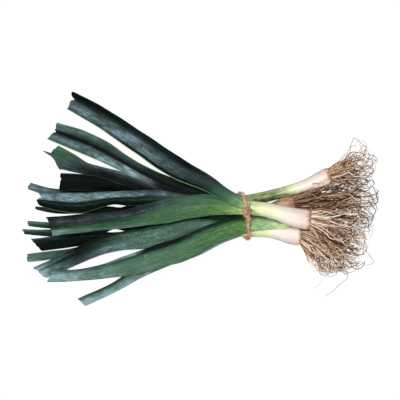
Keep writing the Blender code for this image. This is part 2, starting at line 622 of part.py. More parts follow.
def add_twine(tied, material, collection):
    path = twine_path(tied)
    rings = tube_along(path, TWINE_RADIUS, TWINE_SIDES, across=(1.0, 0.0, 0.0), closed=True)
    body = add_object("twine", rings.reshape(-1, 3), closed_tube_faces(len(path), TWINE_SIDES),
                      material, collection)
    centre, ahead, side, out = knot_frame(path)
    knot = bpy.data.collections.new("knot")
    bpy.context.scene.collection.children.link(knot)
    turn = np.linspace(0, 2 * math.pi, KNOT_WRAP_POINTS, endpoint=False)[:, None]
    for shift, tilt in KNOT_WRAPS:
        wrap = (centre + ahead * shift + out * KNOT_LIFT
                + KNOT_WRAP_RADIUS * (side * np.cos(turn) + out * np.sin(turn))
                + KNOT_WRAP_RADIUS * tilt * ahead * np.cos(turn))
        tube = tube_along(wrap, TWINE_RADIUS * KNOT_THIN, TWINE_SIDES, across=ahead, closed=True)
        add_object("wrap", tube.reshape(-1, 3), closed_tube_faces(len(wrap), TWINE_SIDES),
                   material, knot)
    t = np.linspace(0, 1, KNOT_END_POINTS)[:, None]
    for across, along, curl in KNOT_ENDS:
        run = (centre + out * KNOT_END_RISE + (side * across + ahead * along) * KNOT_END_LENGTH * t
               + out * KNOT_END_BOW * np.sin(math.pi * t) + ahead * curl * t * t)
        tube = tube_along(run, TWINE_RADIUS * KNOT_THIN, TWINE_SIDES, across=out)
        add_object("end", tube.reshape(-1, 3), tube_faces(len(run), TWINE_SIDES), material, knot)
    join(body, knot)


def main():
    clear_scene()
    collection = bpy.data.collections.new("bunch_of_leeks")
    bpy.context.scene.collection.children.link(collection)
    materials = {kind: make_material(kind) for kind in COLOURS}
    pile = Pile()
    tied = [add_leaf(leaf, pile, materials["leaf"], collection) for leaf in UNDER_LEAVES]
    tied += [add_shaft(number, pile, materials["shaft"], collection) for number in LOW_LEEKS]
    tied += [add_leaf(leaf, pile, materials["leaf"], collection) for leaf in LOW_LEAVES]
    tied += [add_shaft(number, pile, materials["shaft"], collection) for number in TOP_LEEKS]
    tied += [add_leaf(leaf, pile, materials["leaf"], collection) for leaf in TOP_LEAVES]
    add_twine(tied, materials["twine"], collection)
    for number in TUFTS:
        add_roots(number, materials["roots"], collection)


main()
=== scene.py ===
import math
import random

import bpy
import numpy as np
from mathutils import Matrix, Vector
from mathutils.bvhtree import BVHTree


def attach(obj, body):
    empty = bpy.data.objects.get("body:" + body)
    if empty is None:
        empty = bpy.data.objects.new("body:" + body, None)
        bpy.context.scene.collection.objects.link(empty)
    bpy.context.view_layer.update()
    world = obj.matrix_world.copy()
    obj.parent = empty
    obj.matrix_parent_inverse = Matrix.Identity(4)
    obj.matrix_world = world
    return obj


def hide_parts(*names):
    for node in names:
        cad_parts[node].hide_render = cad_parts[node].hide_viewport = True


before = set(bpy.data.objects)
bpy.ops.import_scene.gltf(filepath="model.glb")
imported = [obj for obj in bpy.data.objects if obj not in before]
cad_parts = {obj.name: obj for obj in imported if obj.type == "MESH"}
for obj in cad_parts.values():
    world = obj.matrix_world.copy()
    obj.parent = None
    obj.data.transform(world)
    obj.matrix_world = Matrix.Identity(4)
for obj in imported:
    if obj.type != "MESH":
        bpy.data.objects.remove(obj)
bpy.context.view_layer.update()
mm = 0.001  # sizes below are millimetres, turned to metres where a mesh is made


# Small tools

def toLinear(hexColour):
    channels = [int(hexColour[i:i + 2], 16) / 255 for i in (1, 3, 5)]
    return [c / 12.92 if c <= 0.04045 else ((c + 0.055) / 1.055) ** 2.4 for c in channels] + [1.0]


def setInputs(tree, node, inputs):
    # a node given for an input stands for its first output
    for key, value in inputs.items():
        if isinstance(value, bpy.types.Node):
            value = value.outputs[0]
        if isinstance(value, bpy.types.NodeSocket):
            tree.links.new(value, node.inputs[key])
        else:
            node.inputs[key].default_value = value


def addNode(tree, kind, inputs=None, stops=None, **settings):
    node = tree.nodes.new(kind)
    for name, value in settings.items():
        setattr(node, name, value)
    setInputs(tree, node, inputs or {})
    for i, (place, colour) in enumerate(stops or []):
        elements = node.color_ramp.elements
        element = elements[i] if i < 2 else elements.new(place)
        element.position = place
        element.color = toLinear(colour)
    return node


def inRange(value, low, high, start=0.3, end=0.7):
    # the inputs of a Map Range node; a noise seldom leaves 0.3 to 0.7
    return {0: value, 1: start, 2: end, 3: low, 4: high}


def newMaterial(name):
    material = bpy.data.materials.new(name)
    material.use_nodes = True
    return material, material.node_tree, material.node_tree.nodes["Principled BSDF"]


def throughRows(rows, places):
    # a smooth line through the rows, at shares of its length in plan
    rows = np.array(rows, float)
    steps = np.linalg.norm(np.diff(rows[:, :2], axis=0), axis=1)
    at = np.concatenate(([0.0], np.cumsum(steps)))
    slope = np.gradient(rows, at, axis=0)
    places = np.asarray(places) * at[-1]
    low = np.clip(np.searchsorted(at, places, side="right") - 1, 0, len(at) - 2)
    span = at[low + 1] - at[low]
    t = ((places - at[low]) / span)[:, None]
    span = span[:, None]
    return ((2 * t**3 - 3 * t**2 + 1) * rows[low] + (t**3 - 2 * t**2 + t) * span * slope[low]
            + (3 * t**2 - 2 * t**3) * rows[low + 1] + (t**3 - t**2) * span * slope[low + 1])


def planLength(rows):
    rows = np.array(rows, float)
    return float(np.linalg.norm(np.diff(rows[:, :2], axis=0), axis=1).sum())


def headings(path):
    # unit steps along a path in plan, and across it
    ahead = np.gradient(path[:, :2], axis=0)
    ahead /= np.linalg.norm(ahead, axis=1)[:, None]
    return ahead, np.stack((ahead[:, 1], -ahead[:, 0]), axis=1)


def smoothNoise(draw, places, spacing):
    # a soft random line between -1 and 1, with a new value every spacing
    count = int(np.max(places) / spacing) + 3
    knots = np.array([draw.uniform(-1, 1) for _ in range(count)])
    t = np.asarray(places) / spacing
    low = t.astype(int)
    f = t - low
    f = f * f * (3 - 2 * f)
    return knots[low] * (1 - f) + knots[low + 1] * f


def spread(profile, at):
    # a profile gives values at places, and is straight between them
    return np.interp(at, list(profile), list(profile.values()))


def pieceName(node):
    first, *rest = node.split("_")
    return first + "".join(word.capitalize() for word in rest)


def meshPiece(name, points, faces, material, uv=None, attributes=None):
    mesh = bpy.data.meshes.new(name)
    mesh.from_pydata([tuple(p) for p in np.asarray(points) * mm], [], faces)
    for label, values in (attributes or {}).items():
        mesh.attributes.new(label, "FLOAT", "POINT").data.foreach_set("value", values)
    if uv is not None:
        corner = np.zeros(len(mesh.loops), int)
        mesh.loops.foreach_get("vertex_index", corner)
        layer = mesh.uv_layers.new(name="surfaceUV")
        layer.data.foreach_set("uv", (uv * mm)[corner].ravel())
    mesh.materials.append(material)
    mesh.shade_smooth()
    piece = bpy.data.objects.new(name, mesh)
    bpy.context.scene.collection.objects.link(piece)
    return piece


def dress(piece, node):
    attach(piece, "root")
    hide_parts(node)


def newTree(name, sizes):
    tree = bpy.data.node_groups.new(name, "GeometryNodeTree")
    tree.interface.new_socket("Geometry", in_out="INPUT", socket_type="NodeSocketGeometry")
    for label, value in sizes.items():
        kind = "NodeSocketInt" if isinstance(value, int) else "NodeSocketFloat"
        tree.interface.new_socket(label, in_out="INPUT", socket_type=kind).default_value = value
    tree.interface.new_socket("Geometry", in_out="OUTPUT", socket_type="NodeSocketGeometry")
    return tree, addNode(tree, "NodeGroupInput").outputs


def closeTree(tree, geometry, material):
    solid = addNode(tree, "GeometryNodeRealizeInstances", {"Geometry": geometry})
    # nothing goes through the table
    apart = addNode(tree, "ShaderNodeSeparateXYZ", {0: addNode(tree, "GeometryNodeInputPosition")})
    above = addNode(tree, "ShaderNodeMath", {0: apart.outputs["Z"], 1: 0.0}, operation="MAXIMUM")
    place = addNode(tree, "ShaderNodeCombineXYZ", {
        "X": apart.outputs["X"], "Y": apart.outputs["Y"], "Z": above})
    solid = addNode(tree, "GeometryNodeSetPosition", {"Geometry": solid, "Position": place})
    smooth = addNode(tree, "GeometryNodeSetShadeSmooth", {"Geometry": solid})
    done = addNode(tree, "GeometryNodeSetMaterial", {"Geometry": smooth, "Material": material})
    addNode(tree, "NodeGroupOutput", {"Geometry": done})
    return tree


def curveObject(name, paths):
    curve = bpy.data.curves.new(name, "CURVE")
    curve.dimensions = "3D"
    for path in paths:
        spline = curve.splines.new("POLY")
        spline.points.add(len(path) - 1)
        spline.points.foreach_set("co", np.column_stack((path * mm, np.ones(len(path)))).ravel())
    guide = bpy.data.objects.new(name, curve)
    bpy.context.scene.collection.objects.link(guide)
    return guide


def runTree(name, source, tree, sizes):
    # grows a tree on a source, keeps the result as a plain mesh and drops the source
    grower = source.modifiers.new(name, "NODES")
    grower.node_group = tree
    for item in tree.interface.items_tree:
        if item.in_out == "INPUT" and item.name in sizes:
            grower[item.identifier] = sizes[item.name]
    graph = bpy.context.evaluated_depsgraph_get()
    mesh = bpy.data.meshes.new_from_object(source.evaluated_get(graph))
    mesh.name = name
    bpy.data.objects.remove(source)
    piece = bpy.data.objects.new(name, mesh)
    bpy.context.scene.collection.objects.link(piece)
    return piece


def stretchedNoise(tree, sizes, roughness):
    # a pattern drawn out along a leaf or shaft, from its width, length and detail
    width, length, detail = sizes
    place = addNode(tree, "ShaderNodeUVMap", uv_map="surfaceUV")
    stretch = addNode(tree, "ShaderNodeMapping", {
        "Vector": place, "Scale": (1 / (width * mm), 1 / (length * mm), 1.0)})
    return addNode(tree, "ShaderNodeTexNoise", {
        "Vector": stretch, "Scale": 1.0, "Detail": detail, "Roughness": roughness})


# Fresh leek leaf: a waxy skin over fine parallel veins that shines softly, with painted shade near
# black where it faces away from the light and a blue-grey bloom, partly painted sheen, where the wax
# lies thick. Patterns are given as width, length and detail, and bumps as strength and depth.

leafFinish = dict(
    veins=(1.4, 40.0, 1.0),      # a real leaf has veins nearer 0.8 mm apart, too fine to show
    streaks=(1.7, 9.0, 3.0),     # lighter and darker dashes that follow the veins
    folds=(5.0, 140.0, 1.0),     # shallow ridges and hollows along the blade
    rubs=(9.0, 26.0, 4.0),       # patches where the wax is rubbed off
    patternRoughness=0.55,
    veinShift=0.05,              # how far veins and streaks shift the green
    streakShift=0.13,
    # from pale green to near black; the darkest stops are mostly painted shade
    ripeAndShadeStops=[(0.0, "#d0d8a4"), (0.16, "#95af62"), (0.34, "#53793f"), (0.52, "#355a32"),
               (0.7, "#1c3f22"), (0.85, "#101f18"), (1.0, "#060b0b")],
    # the blue-grey of the bloom, also used as a painted sheen where a wing faces the light
    wax="#849ea5",
    rubbedWax=(0.55, 1.2),       # the wax that rubbed and whole patches keep, and streaks too
    streakedWax=(0.6, 1.35),
    waxSpan=(0.35, 0.65),
    waxPower=1.5,                # thin wax hardly shows
    # the pale margin colour, partly a painted highlight along a lit edge
    margin="#9fbf7a",
    roughness=(0.5, 0.6),        # bare and waxed
    veinBump=(0.6, 0.15),
    foldBump=(0.8, 1.1),
)


def leafMaterial(name, shine):
    spec = leafFinish
    material, tree, shader = newMaterial(name)
    veins, streaks, folds, rubs = [stretchedNoise(tree, spec[label], spec["patternRoughness"])
                                   for label in ("veins", "streaks", "folds", "rubs")]
    # ripeness with painted shade, bloom with painted sheen, and margins that are partly a painted
    # highlight
    ripe, wax, edge = [addNode(tree, "ShaderNodeAttribute", attribute_name=label).outputs["Fac"]
                       for label in ("ripe", "wax", "margin")]
    for pattern, shift in ((streaks, spec["streakShift"]), (veins, spec["veinShift"])):
        shift = addNode(tree, "ShaderNodeMapRange", inRange(pattern, -shift, shift))
        ripe = addNode(tree, "ShaderNodeMath", {0: ripe, 1: shift}, operation="ADD")
    skin = addNode(tree, "ShaderNodeValToRGB", {0: ripe}, stops=spec["ripeAndShadeStops"])
    for pattern, kept in ((rubs, spec["rubbedWax"]), (streaks, spec["streakedWax"])):
        kept = addNode(tree, "ShaderNodeMapRange", inRange(pattern, *kept, *spec["waxSpan"]))
        wax = addNode(tree, "ShaderNodeMath", {0: wax, 1: kept}, operation="MULTIPLY")
    wax = addNode(tree, "ShaderNodeMath", {0: wax, 1: spec["waxPower"]}, operation="POWER",
                  use_clamp=True)
    for share, colour in ((wax, spec["wax"]), (edge, spec["margin"])):
        skin = addNode(tree, "ShaderNodeMix", {"Factor": share, "A": skin, "B": toLinear(colour)},
                       data_type="RGBA").outputs["Result"]
    rough = addNode(tree, "ShaderNodeMapRange", inRange(wax, *spec["roughness"], 0.0, 1.0))
    strength, depth = spec["foldBump"]
    bump = addNode(tree, "ShaderNodeBump", {
        "Height": folds, "Strength": strength, "Distance": depth * mm})
    strength, depth = spec["veinBump"]
    bump = addNode(tree, "ShaderNodeBump", {
        "Height": veins, "Strength": strength, "Distance": depth * mm, "Normal": bump})
    setInputs(tree, shader, {"Base Color": skin, "Roughness": rough, "Normal": bump,
                             "Specular IOR Level": shine})
    return material


# Leaves. Each row is x, y, half width, far fall, near fall, from the base to the cut tip; the
# far side is the side away from the light. Shares run along a leaf, 0 at its base and 1 at its
# tip, and v runs across it, -1 at its near margin and 1 at its far one. tip gives how far the
# cut end stands out, curl what is added to the height, green how ripe the green is (0 pale,
# 1 near black, its darkest part painted shade), shade and dark the painted shade added to that,
# wax the bloom with a painted sheen where a wing faces the light, and edge how pale the margins
# are, partly a painted highlight. green goes by share, tip and shade by v, and curl, dark and wax
# by both.

leafLook = dict(
    stepAlong=2.2,
    across=37,
    thickest=1.1,
    thinnest=0.45,
    baseRounding=1.6,     # the fold over the keel is soft at the base, and crisp past baseLength
    keelRounding=0.22,
    baseLength=110.0,
    tipCut=40.0,          # the length over which the blade takes the slant of its cut
    tipShape=22.0,        # the length over which the end takes the shape of its cut
    tipEase=1.5,
    liftWindow=9,         # the height read from the solid is evened out over this many steps
    ragged=0.8,           # the knife leaves an uneven end
    raggedSpacing=4.0,    # in points across the leaf
    raggedRows=(0.2, 0.5, 1.0),  # how much of that the last rows of points take
    ripple=0.8,
    rippleSpacing=16.0,
    rippleFrom=0.35,      # ripple and drift of a margin start this far out
    drift=0.5,
    driftSpacing=22.0,
    driftIn=1 / 3,        # the share of the leaf over which the drift comes in
    ridge=0.45,           # long low ridges, as the parallel ribs of a leek leaf
    ridgeSpacing=2.6,
    ridgeIn=0.25,
    shadeIn=0.2,
    rim=0.06,             # the width of a pale margin, in half widths
    # pale margins are partly a painted highlight
    edge=(0.2, 0.1),      # how pale the near and far margins are where a leaf doesn't say
    patternStep=37.0,     # each leaf shows its own part of the patterns
)

leafRows = {
    "leek_1_leaf_4": dict(
        skin="bare", keel=0.1, cut=-1,
        rows=[(44, -6, 7, 0.4, 0.4), (15, -3, 8, 0.8, 0.8), (-30, 2, 8, 3, 3), (-91, 6, 8, 4, 4),
              (-156, 7, 6, 3.5, 3.5), (-202, 11.9, 4.7, 2.5, 2.5), (-224, 18.5, 4.4, 2, 2)],
        green={0: 0.8, 0.3: 1.0, 0.85: 1.0, 1: 0.7},
        wax={0.8: {-1: 0}, 0.88: {-1: 0.55, 1: 0.4}, 1: {-1: 0.65, 1: 0.45}}),
    "leek_2_leaf_4": dict(
        skin="bare", keel=0.0, cut=2,
        rows=[(44, -21, 7, 0.4, 0.4), (10, -23, 7.5, 0.8, 0.8), (-20, -25, 7.5, 3, 3),
              (-80, -32, 7, 3.5, 3.5), (-97, -34, 6.6, 3, 3), (-112, -33.8, 4.2, 3, 3),
              (-127, -37, 6, 3, 3), (-150, -40.5, 5.5, 3, 3), (-194, -43.2, 4.2, 2, 2),
              (-231, -41.6, 3.4, 1.5, 1.5)],
        green={0: 0.8, 0.5: 0.95, 0.85: 0.9, 1: 0.65}, shade={-1: 0.15, 0: 0.15, 0.4: -0.1, 1: -0.1},
        wax={0.8: {-1: 0.1}, 1: {-1: 0.1, 0: 0.15, 0.5: 0.5, 1: 0.3}}),
    "leek_4_leaf_4": dict(
        skin="bare", keel=0.0, cut=0,
        rows=[(44, -40, 7, 0.4, 0.4), (10, -40, 8, 0.8, 0.8), (-30, -44, 9, 3, 3),
              (-65, -50, 9, 4, 4), (-117, -60, 8, 3.5, 3.5), (-169, -69.4, 6.2, 3, 3),
              (-226, -76.2, 5.2, 2, 2)],
        green={0: 0.8, 0.6: 0.9, 0.8: 0.75, 1: 0.6},
        wax={0.6: {-1: 0.1}, 0.85: {-1: 0.6, -0.5: 0.35, 1: 0.3}, 1: {-1: 0.65, 0: 0.45, 1: 0.35}}),
    "leek_2_leaf_3": dict(
        skin="bare", keel=0.0, cut=1,
        rows=[(46, -21, 6.5, 1.8, 1.8), (14, -19.5, 7, 1.5, 1.5), (-40, -12, 8, 4, 4),
              (-86, -11.6, 6.6, 3.5, 3.5), (-104, -14.4, 5.1, 3, 3), (-118, -13.6, 5.6, 3, 3),
              (-136, -13, 5.2, 2.8, 2.8), (-160, -12.6, 5.2, 2.5, 2.5), (-194, -13.6, 3.5, 1.5, 1.5),
              (-215, -10.5, 1.8, 1, 1)],
        green={0: 0.8, 0.3: 1.0, 0.9: 1.0, 1: 0.8},
        wax={0.8: {-1: 0}, 1: {-1: 0.2, 0.4: 0.2, 0.7: 0.6, 1: 0.4}}),
    "leek_2_leaf_2": dict(
        skin="bare", keel=0.1, cut=1,
        rows=[(42, -20.5, 6.5, 1.8, 1.8), (14, -20, 7, 1.5, 1.5), (-20, -20.5, 8, 2, 3),
              (-80, -25, 8, 3, 4), (-150, -31, 6, 2.5, 3), (-196, -33.4, 4.3, 2, 2),
              (-225, -31, 3.2, 1.5, 1.5)],
        green={0: 0.8, 0.4: 0.95, 0.85: 0.85, 1: 0.6}, shade={-1: 0.15, 0: 0.1, 0.4: -0.1, 1: -0.1},
        wax={0.8: {-1: 0.05}, 1: {-1: 0.05, 0: 0.15, 0.5: 0.5, 1: 0.35}}),
    "leek_2_leaf_1": dict(
        skin="bare", keel=0.35, cut=6,
        rows=[(38, -21.5, 6.5, 1.8, 1.8), (14, -23.5, 6.5, 1.5, 1.5), (-13, -31, 8, 2, 4),
              (-65, -41.5, 8, 3, 5), (-104, -48.4, 7, 3, 4), (-143, -50, 8.3, 3, 4),
              (-177, -54, 8.5, 3, 4), (-214, -58.7, 8.7, 3, 4)],
        green={0: 0.8, 0.25: 1.02, 1: 1.02},
        wax={0.8: {-1: 0}, 0.93: {-1: 0, 0.3: 0.02, 0.8: 0.3, 1: 0.2}, 1: {-1: 0, 0.5: 0.1, 1: 0.4}}),
    "leek_1_leaf_3": dict(
        skin="bare", keel=0.2, cut=0,
        rows=[(47, -1, 7, 1.8, 1.8), (14, 0, 8, 1.5, 1.5), (-32, 5, 9, 3, 3), (-71, 14, 9.5, 4, 4),
              (-110, 20, 10, 4, 4), (-150, 23.2, 10.6, 3, 4), (-183, 23.5, 11.4, 2, 4)],
        tip={-1: 0, -0.6: 0.6, -0.2: -1, 0.4: -1.4, 0.8: 0.2, 1: -0.6},
        green={0: 0.7, 0.25: 1.0, 1: 1.05}, shade={-1: 0, 0.8: 0, 1: -0.35},
        wax={0.7: {-1: 0}, 1: {-1: 0.1, -0.5: 0.02, 0.7: 0, 1: 0.2}}),
    "leek_1_leaf_2": dict(
        skin="waxy", keel=0.2, cut=-2,
        rows=[(42, 0, 7, 1.8, 1.8), (10, 3, 8, 1.5, 1.5), (-26, 5, 8.5, 3, 4), (-65, 15.5, 8.5, 3, 5),
              (-98, 27.6, 8.0, 3, 5), (-130, 37.0, 7.0, 2, 5), (-150, 41.6, 8.0, 1, 4),
              (-166, 47.8, 11.4, 0, 3), (-188, 57.6, 14.3, 0, 3)],
        tip={-1: -14, -0.6: -5, -0.3: 1.8, -0.2: 6, -0.14: 13, -0.08: 20, -0.02: 17, 0.06: 8, 1: 4.5},
        green={0: 0.7, 0.2: 1.0, 0.75: 1.0, 0.88: 0.8, 1: 0.6},
        shade={-1: 0.12, -0.3: 0.14, -0.05: 0.0, 0.1: 0.22, 0.3: 0, 1: -0.08},
        wax={0.15: {-1: 0.05, 1: 0.3}, 0.45: {-1: 0.05, 0.3: 0.1, 0.65: 0.55, 1: 0.3},
             0.78: {-1: 0.1, 0.3: 0.1, 0.7: 0.45, 1: 0.2}, 0.9: {-1: 0.22, 1: 0.15},
             1: {-1: 0.4, 0: 0.25, 0.4: 0.15, 1: 0.22}},
        edge=(0.6, 0.5)),
    "leek_1_leaf_1": dict(
        skin="waxy", keel=0.05, cut=-2,
        rows=[(37, 1, 7, 1.8, 1.8), (5, 7, 9.2, 2, 2), (-39, 19.3, 10.3, 0, 4), (-71, 33, 9.8, -3, 2),
              (-101, 49, 11.2, -4, -3), (-125, 62.7, 13.7, -4, -4), (-151, 74.8, 14.8, -4, -4),
              (-191, 90, 12.4, -4, -3)],
        tip={-1: 3, -0.5: 1.5, -0.12: -1, 0.02: -3.5, 0.15: -0.5, 0.6: 1.5, 1: 2},
        green={0: 0.7, 0.12: 0.95, 0.25: 1.05, 0.45: 1.0, 0.6: 0.86, 1: 0.76},
        shade={-1: -0.05, -0.3: 0, -0.08: 0.25, 0.12: 0.3, 0.35: 0.05, 1: -0.12},
        wax={0.15: {-1: 0.05, 1: 0.1}, 0.38: {-1: 0.15, -0.4: 0.05, 0: 0, 1: 0.05},
             0.54: {-1: 0.35, -0.75: 1.2, -0.25: 1.15, -0.05: 0.05, 0.4: 0.1, 1: 0.35},
             0.64: {-1: 0.4, -0.75: 0.85, -0.3: 0.6, -0.05: 0, 0.4: 0.15, 1: 0.4},
             0.8: {-1: 0.35, -0.6: 0.6, -0.2: 0.35, 0: 0, 0.3: 0.1, 0.7: 0.4, 1: 0.3},
             1: {-1: 0.3, -0.6: 0.6, -0.2: 0.15, 0.1: 0, 0.4: 0.35, 1: 0.55}},
        edge=(0.75, 0.4)),
    "leek_4_leaf_3": dict(
        skin="waxy", keel=0.3, cut=3,
        rows=[(50, -40.2, 7.4, 4, 4), (28, -48.7, 7.4, 3, 4), (-7, -66.2, 8, 3, 4.5),
              (-45, -79.4, 7.6, 3, 5), (-78, -94.4, 7.6, 3, 5), (-113, -114.7, 6.6, 3, 4),
              (-155, -134, 6.2, 2, 3)],
        green={0: 0.4, 0.5: 0.6, 0.8: 0.58, 1: 0.6}, shade={-1: 0, 0.2: 0, 0.7: 0.2, 1: 0.2},
        wax={0.1: {-1: 1.1, 0: 0.8}, 0.35: {-1: 1.2, 0: 0.8}, 0.5: {-1: 1.0, -0.3: 0.8, 0.6: 0.3},
             0.7: {-1: 0.9, 0: 0.65, 0.6: 0.2}, 1: {-1: 1.3, 0: 1.05, 0.5: 0.35}}),
    "leek_4_leaf_2": dict(
        skin="waxy", keel=0.2, cut=5,
        rows=[(45, -38, 7, 2, 2), (19, -34, 7.5, 1, 2), (-7, -34, 9.5, 1.5, 3),
              (-38, -41.5, 11.7, 4, 5), (-69, -49.6, 13, 4, 6), (-107, -54.1, 11.7, 4, 6),
              (-139, -63.9, 10.7, 3, 6), (-166, -75.8, 10.6, 2, 6), (-209, -95, 10, 1, 5)],
        tip={-1: 0, -0.3: 1, 0.3: 0, 1: 1.5},
        green={0: 0.6, 0.2: 0.62, 0.45: 0.6, 0.6: 0.72, 0.75: 0.95, 0.85: 0.85, 1: 0.6},
        shade={-1: 0.05, 0: 0, 0.6: 0.05, 1: 0.2},
        wax={0.2: {-1: 0.25, 0.4: 0.35, 1: 0.1}, 0.45: {-1: 0.45, 0: 0.3, 0.5: 0.4, 1: 0},
             0.65: {-1: 0.5, -0.4: 0.6, 0.2: 0.15, 1: 0}, 0.78: {-1: 0.4, 0: 0.05, 1: 0},
             0.9: {-1: 0.55, 0: 0.35, 0.3: 0, 0.6: 0.4, 1: 0.3},
             1: {-1: 1.6, 0: 1.35, 0.25: 0.5, 0.5: 1.2, 1: 1}}),
    "leek_4_leaf_1": dict(
        skin="green", keel=0.25, cut=2,
        rows=[(117, -33.8, 1.6, 0.6, 0.2), (106, -32.6, 4.2, 1.5, 0.4), (89, -31.3, 7.3, 3, 0.8),
              (72, -30.6, 9.7, 4.3, 1.6), (56, -32.6, 11.4, 5, 4), (39, -36.5, 12.3, 5, 6),
              (6, -48.9, 13.9, 4, 8), (-20, -62.4, 15.6, 4, 8), (-52, -72.3, 15, 4, 7),
              (-98, -86.4, 12.8, 4, 6), (-130, -94, 8.9, 3, 5), (-162, -98.2, 7.7, 3, 4),
              (-193, -99.2, 7.4, 3, 4)],
        tip={-1: 9, 0: 3.5, 1: -2}, curl={0.14: {-1: 1.5}, 0.2: {-1: 0}},
        green={0: 0.02, 0.05: 0.1, 0.1: 0.17, 0.15: 0.21, 0.17: 0.27, 0.19: 0.37, 0.3: 0.47, 0.5: 0.5,
               0.75: 0.55, 1: 0.55},
        shade={-1: 0.02, 0.2: 0, 0.5: 0.12, 0.75: 0.4, 1: 0.4},
        dark={0.4: {1: 0}, 0.46: {0.4: 0, 0.7: 0.2}, 0.59: {0.4: 0, 0.7: 0.2},
              0.65: {0.6: 0, 0.82: -0.4}, 0.72: {0.6: 0, 0.82: -0.4}, 0.79: {1: 0}},
        wax={0.02: {-1: 0.3}, 0.08: {-1: 0.5}, 0.15: {-1: 0.45}, 0.19: {-1: 0.1, 0.6: 0.02},
             0.45: {-1: 0.3, -0.5: 0.22, 0.3: 0.2, 0.55: 0.15, 0.7: 0},
             0.6: {-1: 0.38, 0: 0.3, 0.5: 0.25, 0.7: 0},
             0.65: {-1: 0.42, 0: 0.35, 0.5: 0.25, 0.65: 0, 0.82: 0.9},
             0.72: {-1: 0.46, 0: 0.39, 0.5: 0.25, 0.7: 0.1, 0.82: 0.9},
             0.78: {-1: 0.55, 0: 0.45, 0.6: 0.3}, 1: {-1: 1.3, 0: 1.05, 0.4: 0.85, 1: 0.5}}),
    "leek_3_leaf_3": dict(
        skin="bare", keel=0.1, cut=1,
        rows=[(47, -10.5, 7, 1.8, 1.8), (15, -8, 8, 1.5, 1.5), (-13, -3, 9, 2, 3),
              (-52, 3.5, 9, 3, 4), (-91, 2.2, 10, 3, 4), (-112, 2.6, 8.4, 3, 4),
              (-130, 0.1, 10, 3, 4), (-156, -3.8, 13.2, 3, 5), (-182, -3, 12, 3, 5),
              (-209, 0.5, 8, 2, 3)],
        tip={-1: -1, -0.6: 3.2, -0.1: 4, 0.2: 1, 0.5: -1.8, 1: 1.5},
        curl={0.4: {-1: 0}, 0.6: {-1: 1, 0: 0, 1: 4.5}, 1: {-1: 1, 0: 0, 1: 4}},
        green={0: 0.5, 0.15: 0.75, 0.3: 0.85, 0.5: 0.98, 1: 1.0},
        shade={-1: -0.1, -0.8: 0.05, -0.5: 0, -0.2: -0.2, 0.1: 0.02, 1: 0},
        wax={0.2: {-1: 0.05, 0.5: 0.2}, 0.34: {-1: 0.1, 0.2: 0.3, 0.6: 0.5, 1: 0.3},
             0.5: {-1: 0, 0.1: 0.05, 0.4: 0.6, 1: 0.35},
             0.7: {-1: 0, 0.05: 0, 0.25: 0.8, 0.8: 0.85, 1: 0.3},
             1: {-1: 0.1, -0.7: 0, 0: 0, 0.2: 0.75, 0.8: 0.75, 1: 0.4}},
        edge=(0.8, 0.2)),
    "leek_3_leaf_2": dict(
        skin="green", keel=0.0, cut=2,
        rows=[(64, -12, 6, 2, 2.5), (53, -11.5, 7, 2, 3), (32, -9, 10, 3, 4), (13, -6.5, 13.5, 3, 4),
              (-15, -9, 14.7, 4, 5), (-43, -14.2, 15, 5, 5), (-68, -18.9, 13.4, 6, 5),
              (-100, -25, 11.3, 7, 5), (-142, -29.2, 11.8, 7, 6), (-196, -34.6, 12.6, 7, 6)],
        tip={-1: 0, 0.2: -0.5, 0.7: 1, 1: 3}, curl={0: {-1: -2.5}, 0.015: {-1: 0}},
        green={0: 0.0, 0.025: 0.12, 0.05: 0.24, 0.1: 0.32, 0.2: 0.48, 0.4: 0.55, 0.6: 0.62, 1: 0.62},
        shade={-1: -0.02, -0.45: 0.0, -0.25: -0.05, 0.0: 0.02, 0.3: 0.12, 1: 0.16},
        dark={0.42: {-1: 0}, 0.58: {-0.3: 0, 0.05: 0.2, 0.4: 0.45, 1: 0.4},
              1: {-0.3: 0, -0.05: 0.35, 0.3: 0.5, 1: 0.45}},
        wax={0.1: {-1: 0.05, 1: 0.1}, 0.3: {-1: 0.12, 0.3: 0.2, 1: 0.3},
             0.55: {-1: 0.3, -0.5: 0.15, -0.2: 0.05, 0.3: 0.3, 1: 0.15},
             0.8: {-1: 0.5, -0.7: 0.4, -0.35: 0.0, 0.0: 0.1, 0.3: 0.3, 1: 0.1},
             1: {-1: 0.85, -0.5: 0.8, -0.3: 0.0, 0.0: 0.02, 0.3: 0.25, 1: 0.08}}),
    "leek_3_leaf_1": dict(
        skin="waxy", keel=0.3, cut=0,
        rows=[(63.5, -7.4, 5.8, 2.2, 1.5), (58, -6, 6.7, 3.3, 1.6), (51, -3, 7.4, 4, 2),
              (32, 7, 8.2, 5, 2), (10, 21.3, 10.3, 6, 4), (-25, 38.5, 13.6, 7, 5),
              (-80, 74.7, 13.7, 8, 6), (-132, 109.4, 13, 8, 6), (-168, 129.3, 11.8, 6, 5)],
        tip={-1: 0, -0.4: 1, 0.1: 0.5, 0.28: -3.5, 0.45: 1.5, 0.7: 5, 0.9: 5.5, 1: 3},
        curl={0: {-1: -3.5}, 0.015: {-1: 0}, 0.12: {-1: 0}, 0.3: {-1: 4, -0.78: 0, 1: 0},
              0.65: {-1: 3.5, -0.8: 0, 1: 0}, 0.85: {-1: 0}},
        green={0: 0.03, 0.012: 0.08, 0.032: 0.22, 0.068: 0.36, 0.14: 0.64, 0.27: 0.95, 0.6: 0.88,
               1: 0.92},
        shade={-1: 0.1, -0.8: 0.1, -0.6: 0, 0.3: 0, 0.6: 0.12, 1: 0.05},
        wax={0.05: {-1: 0.25, 0.4: 0.3, 1: 0.45}, 0.2: {-1: 0.05, -0.7: 0.1, 0.3: 0.15, 1: 0.3},
             0.35: {-1: 0, -0.75: 0, -0.6: 0.24, 0.2: 0.2, 0.6: 0.05, 1: 0.05},
             0.65: {-1: 0, -0.8: 0, -0.6: 0.65, 0.1: 0.65, 0.4: 0.15, 1: 0.05},
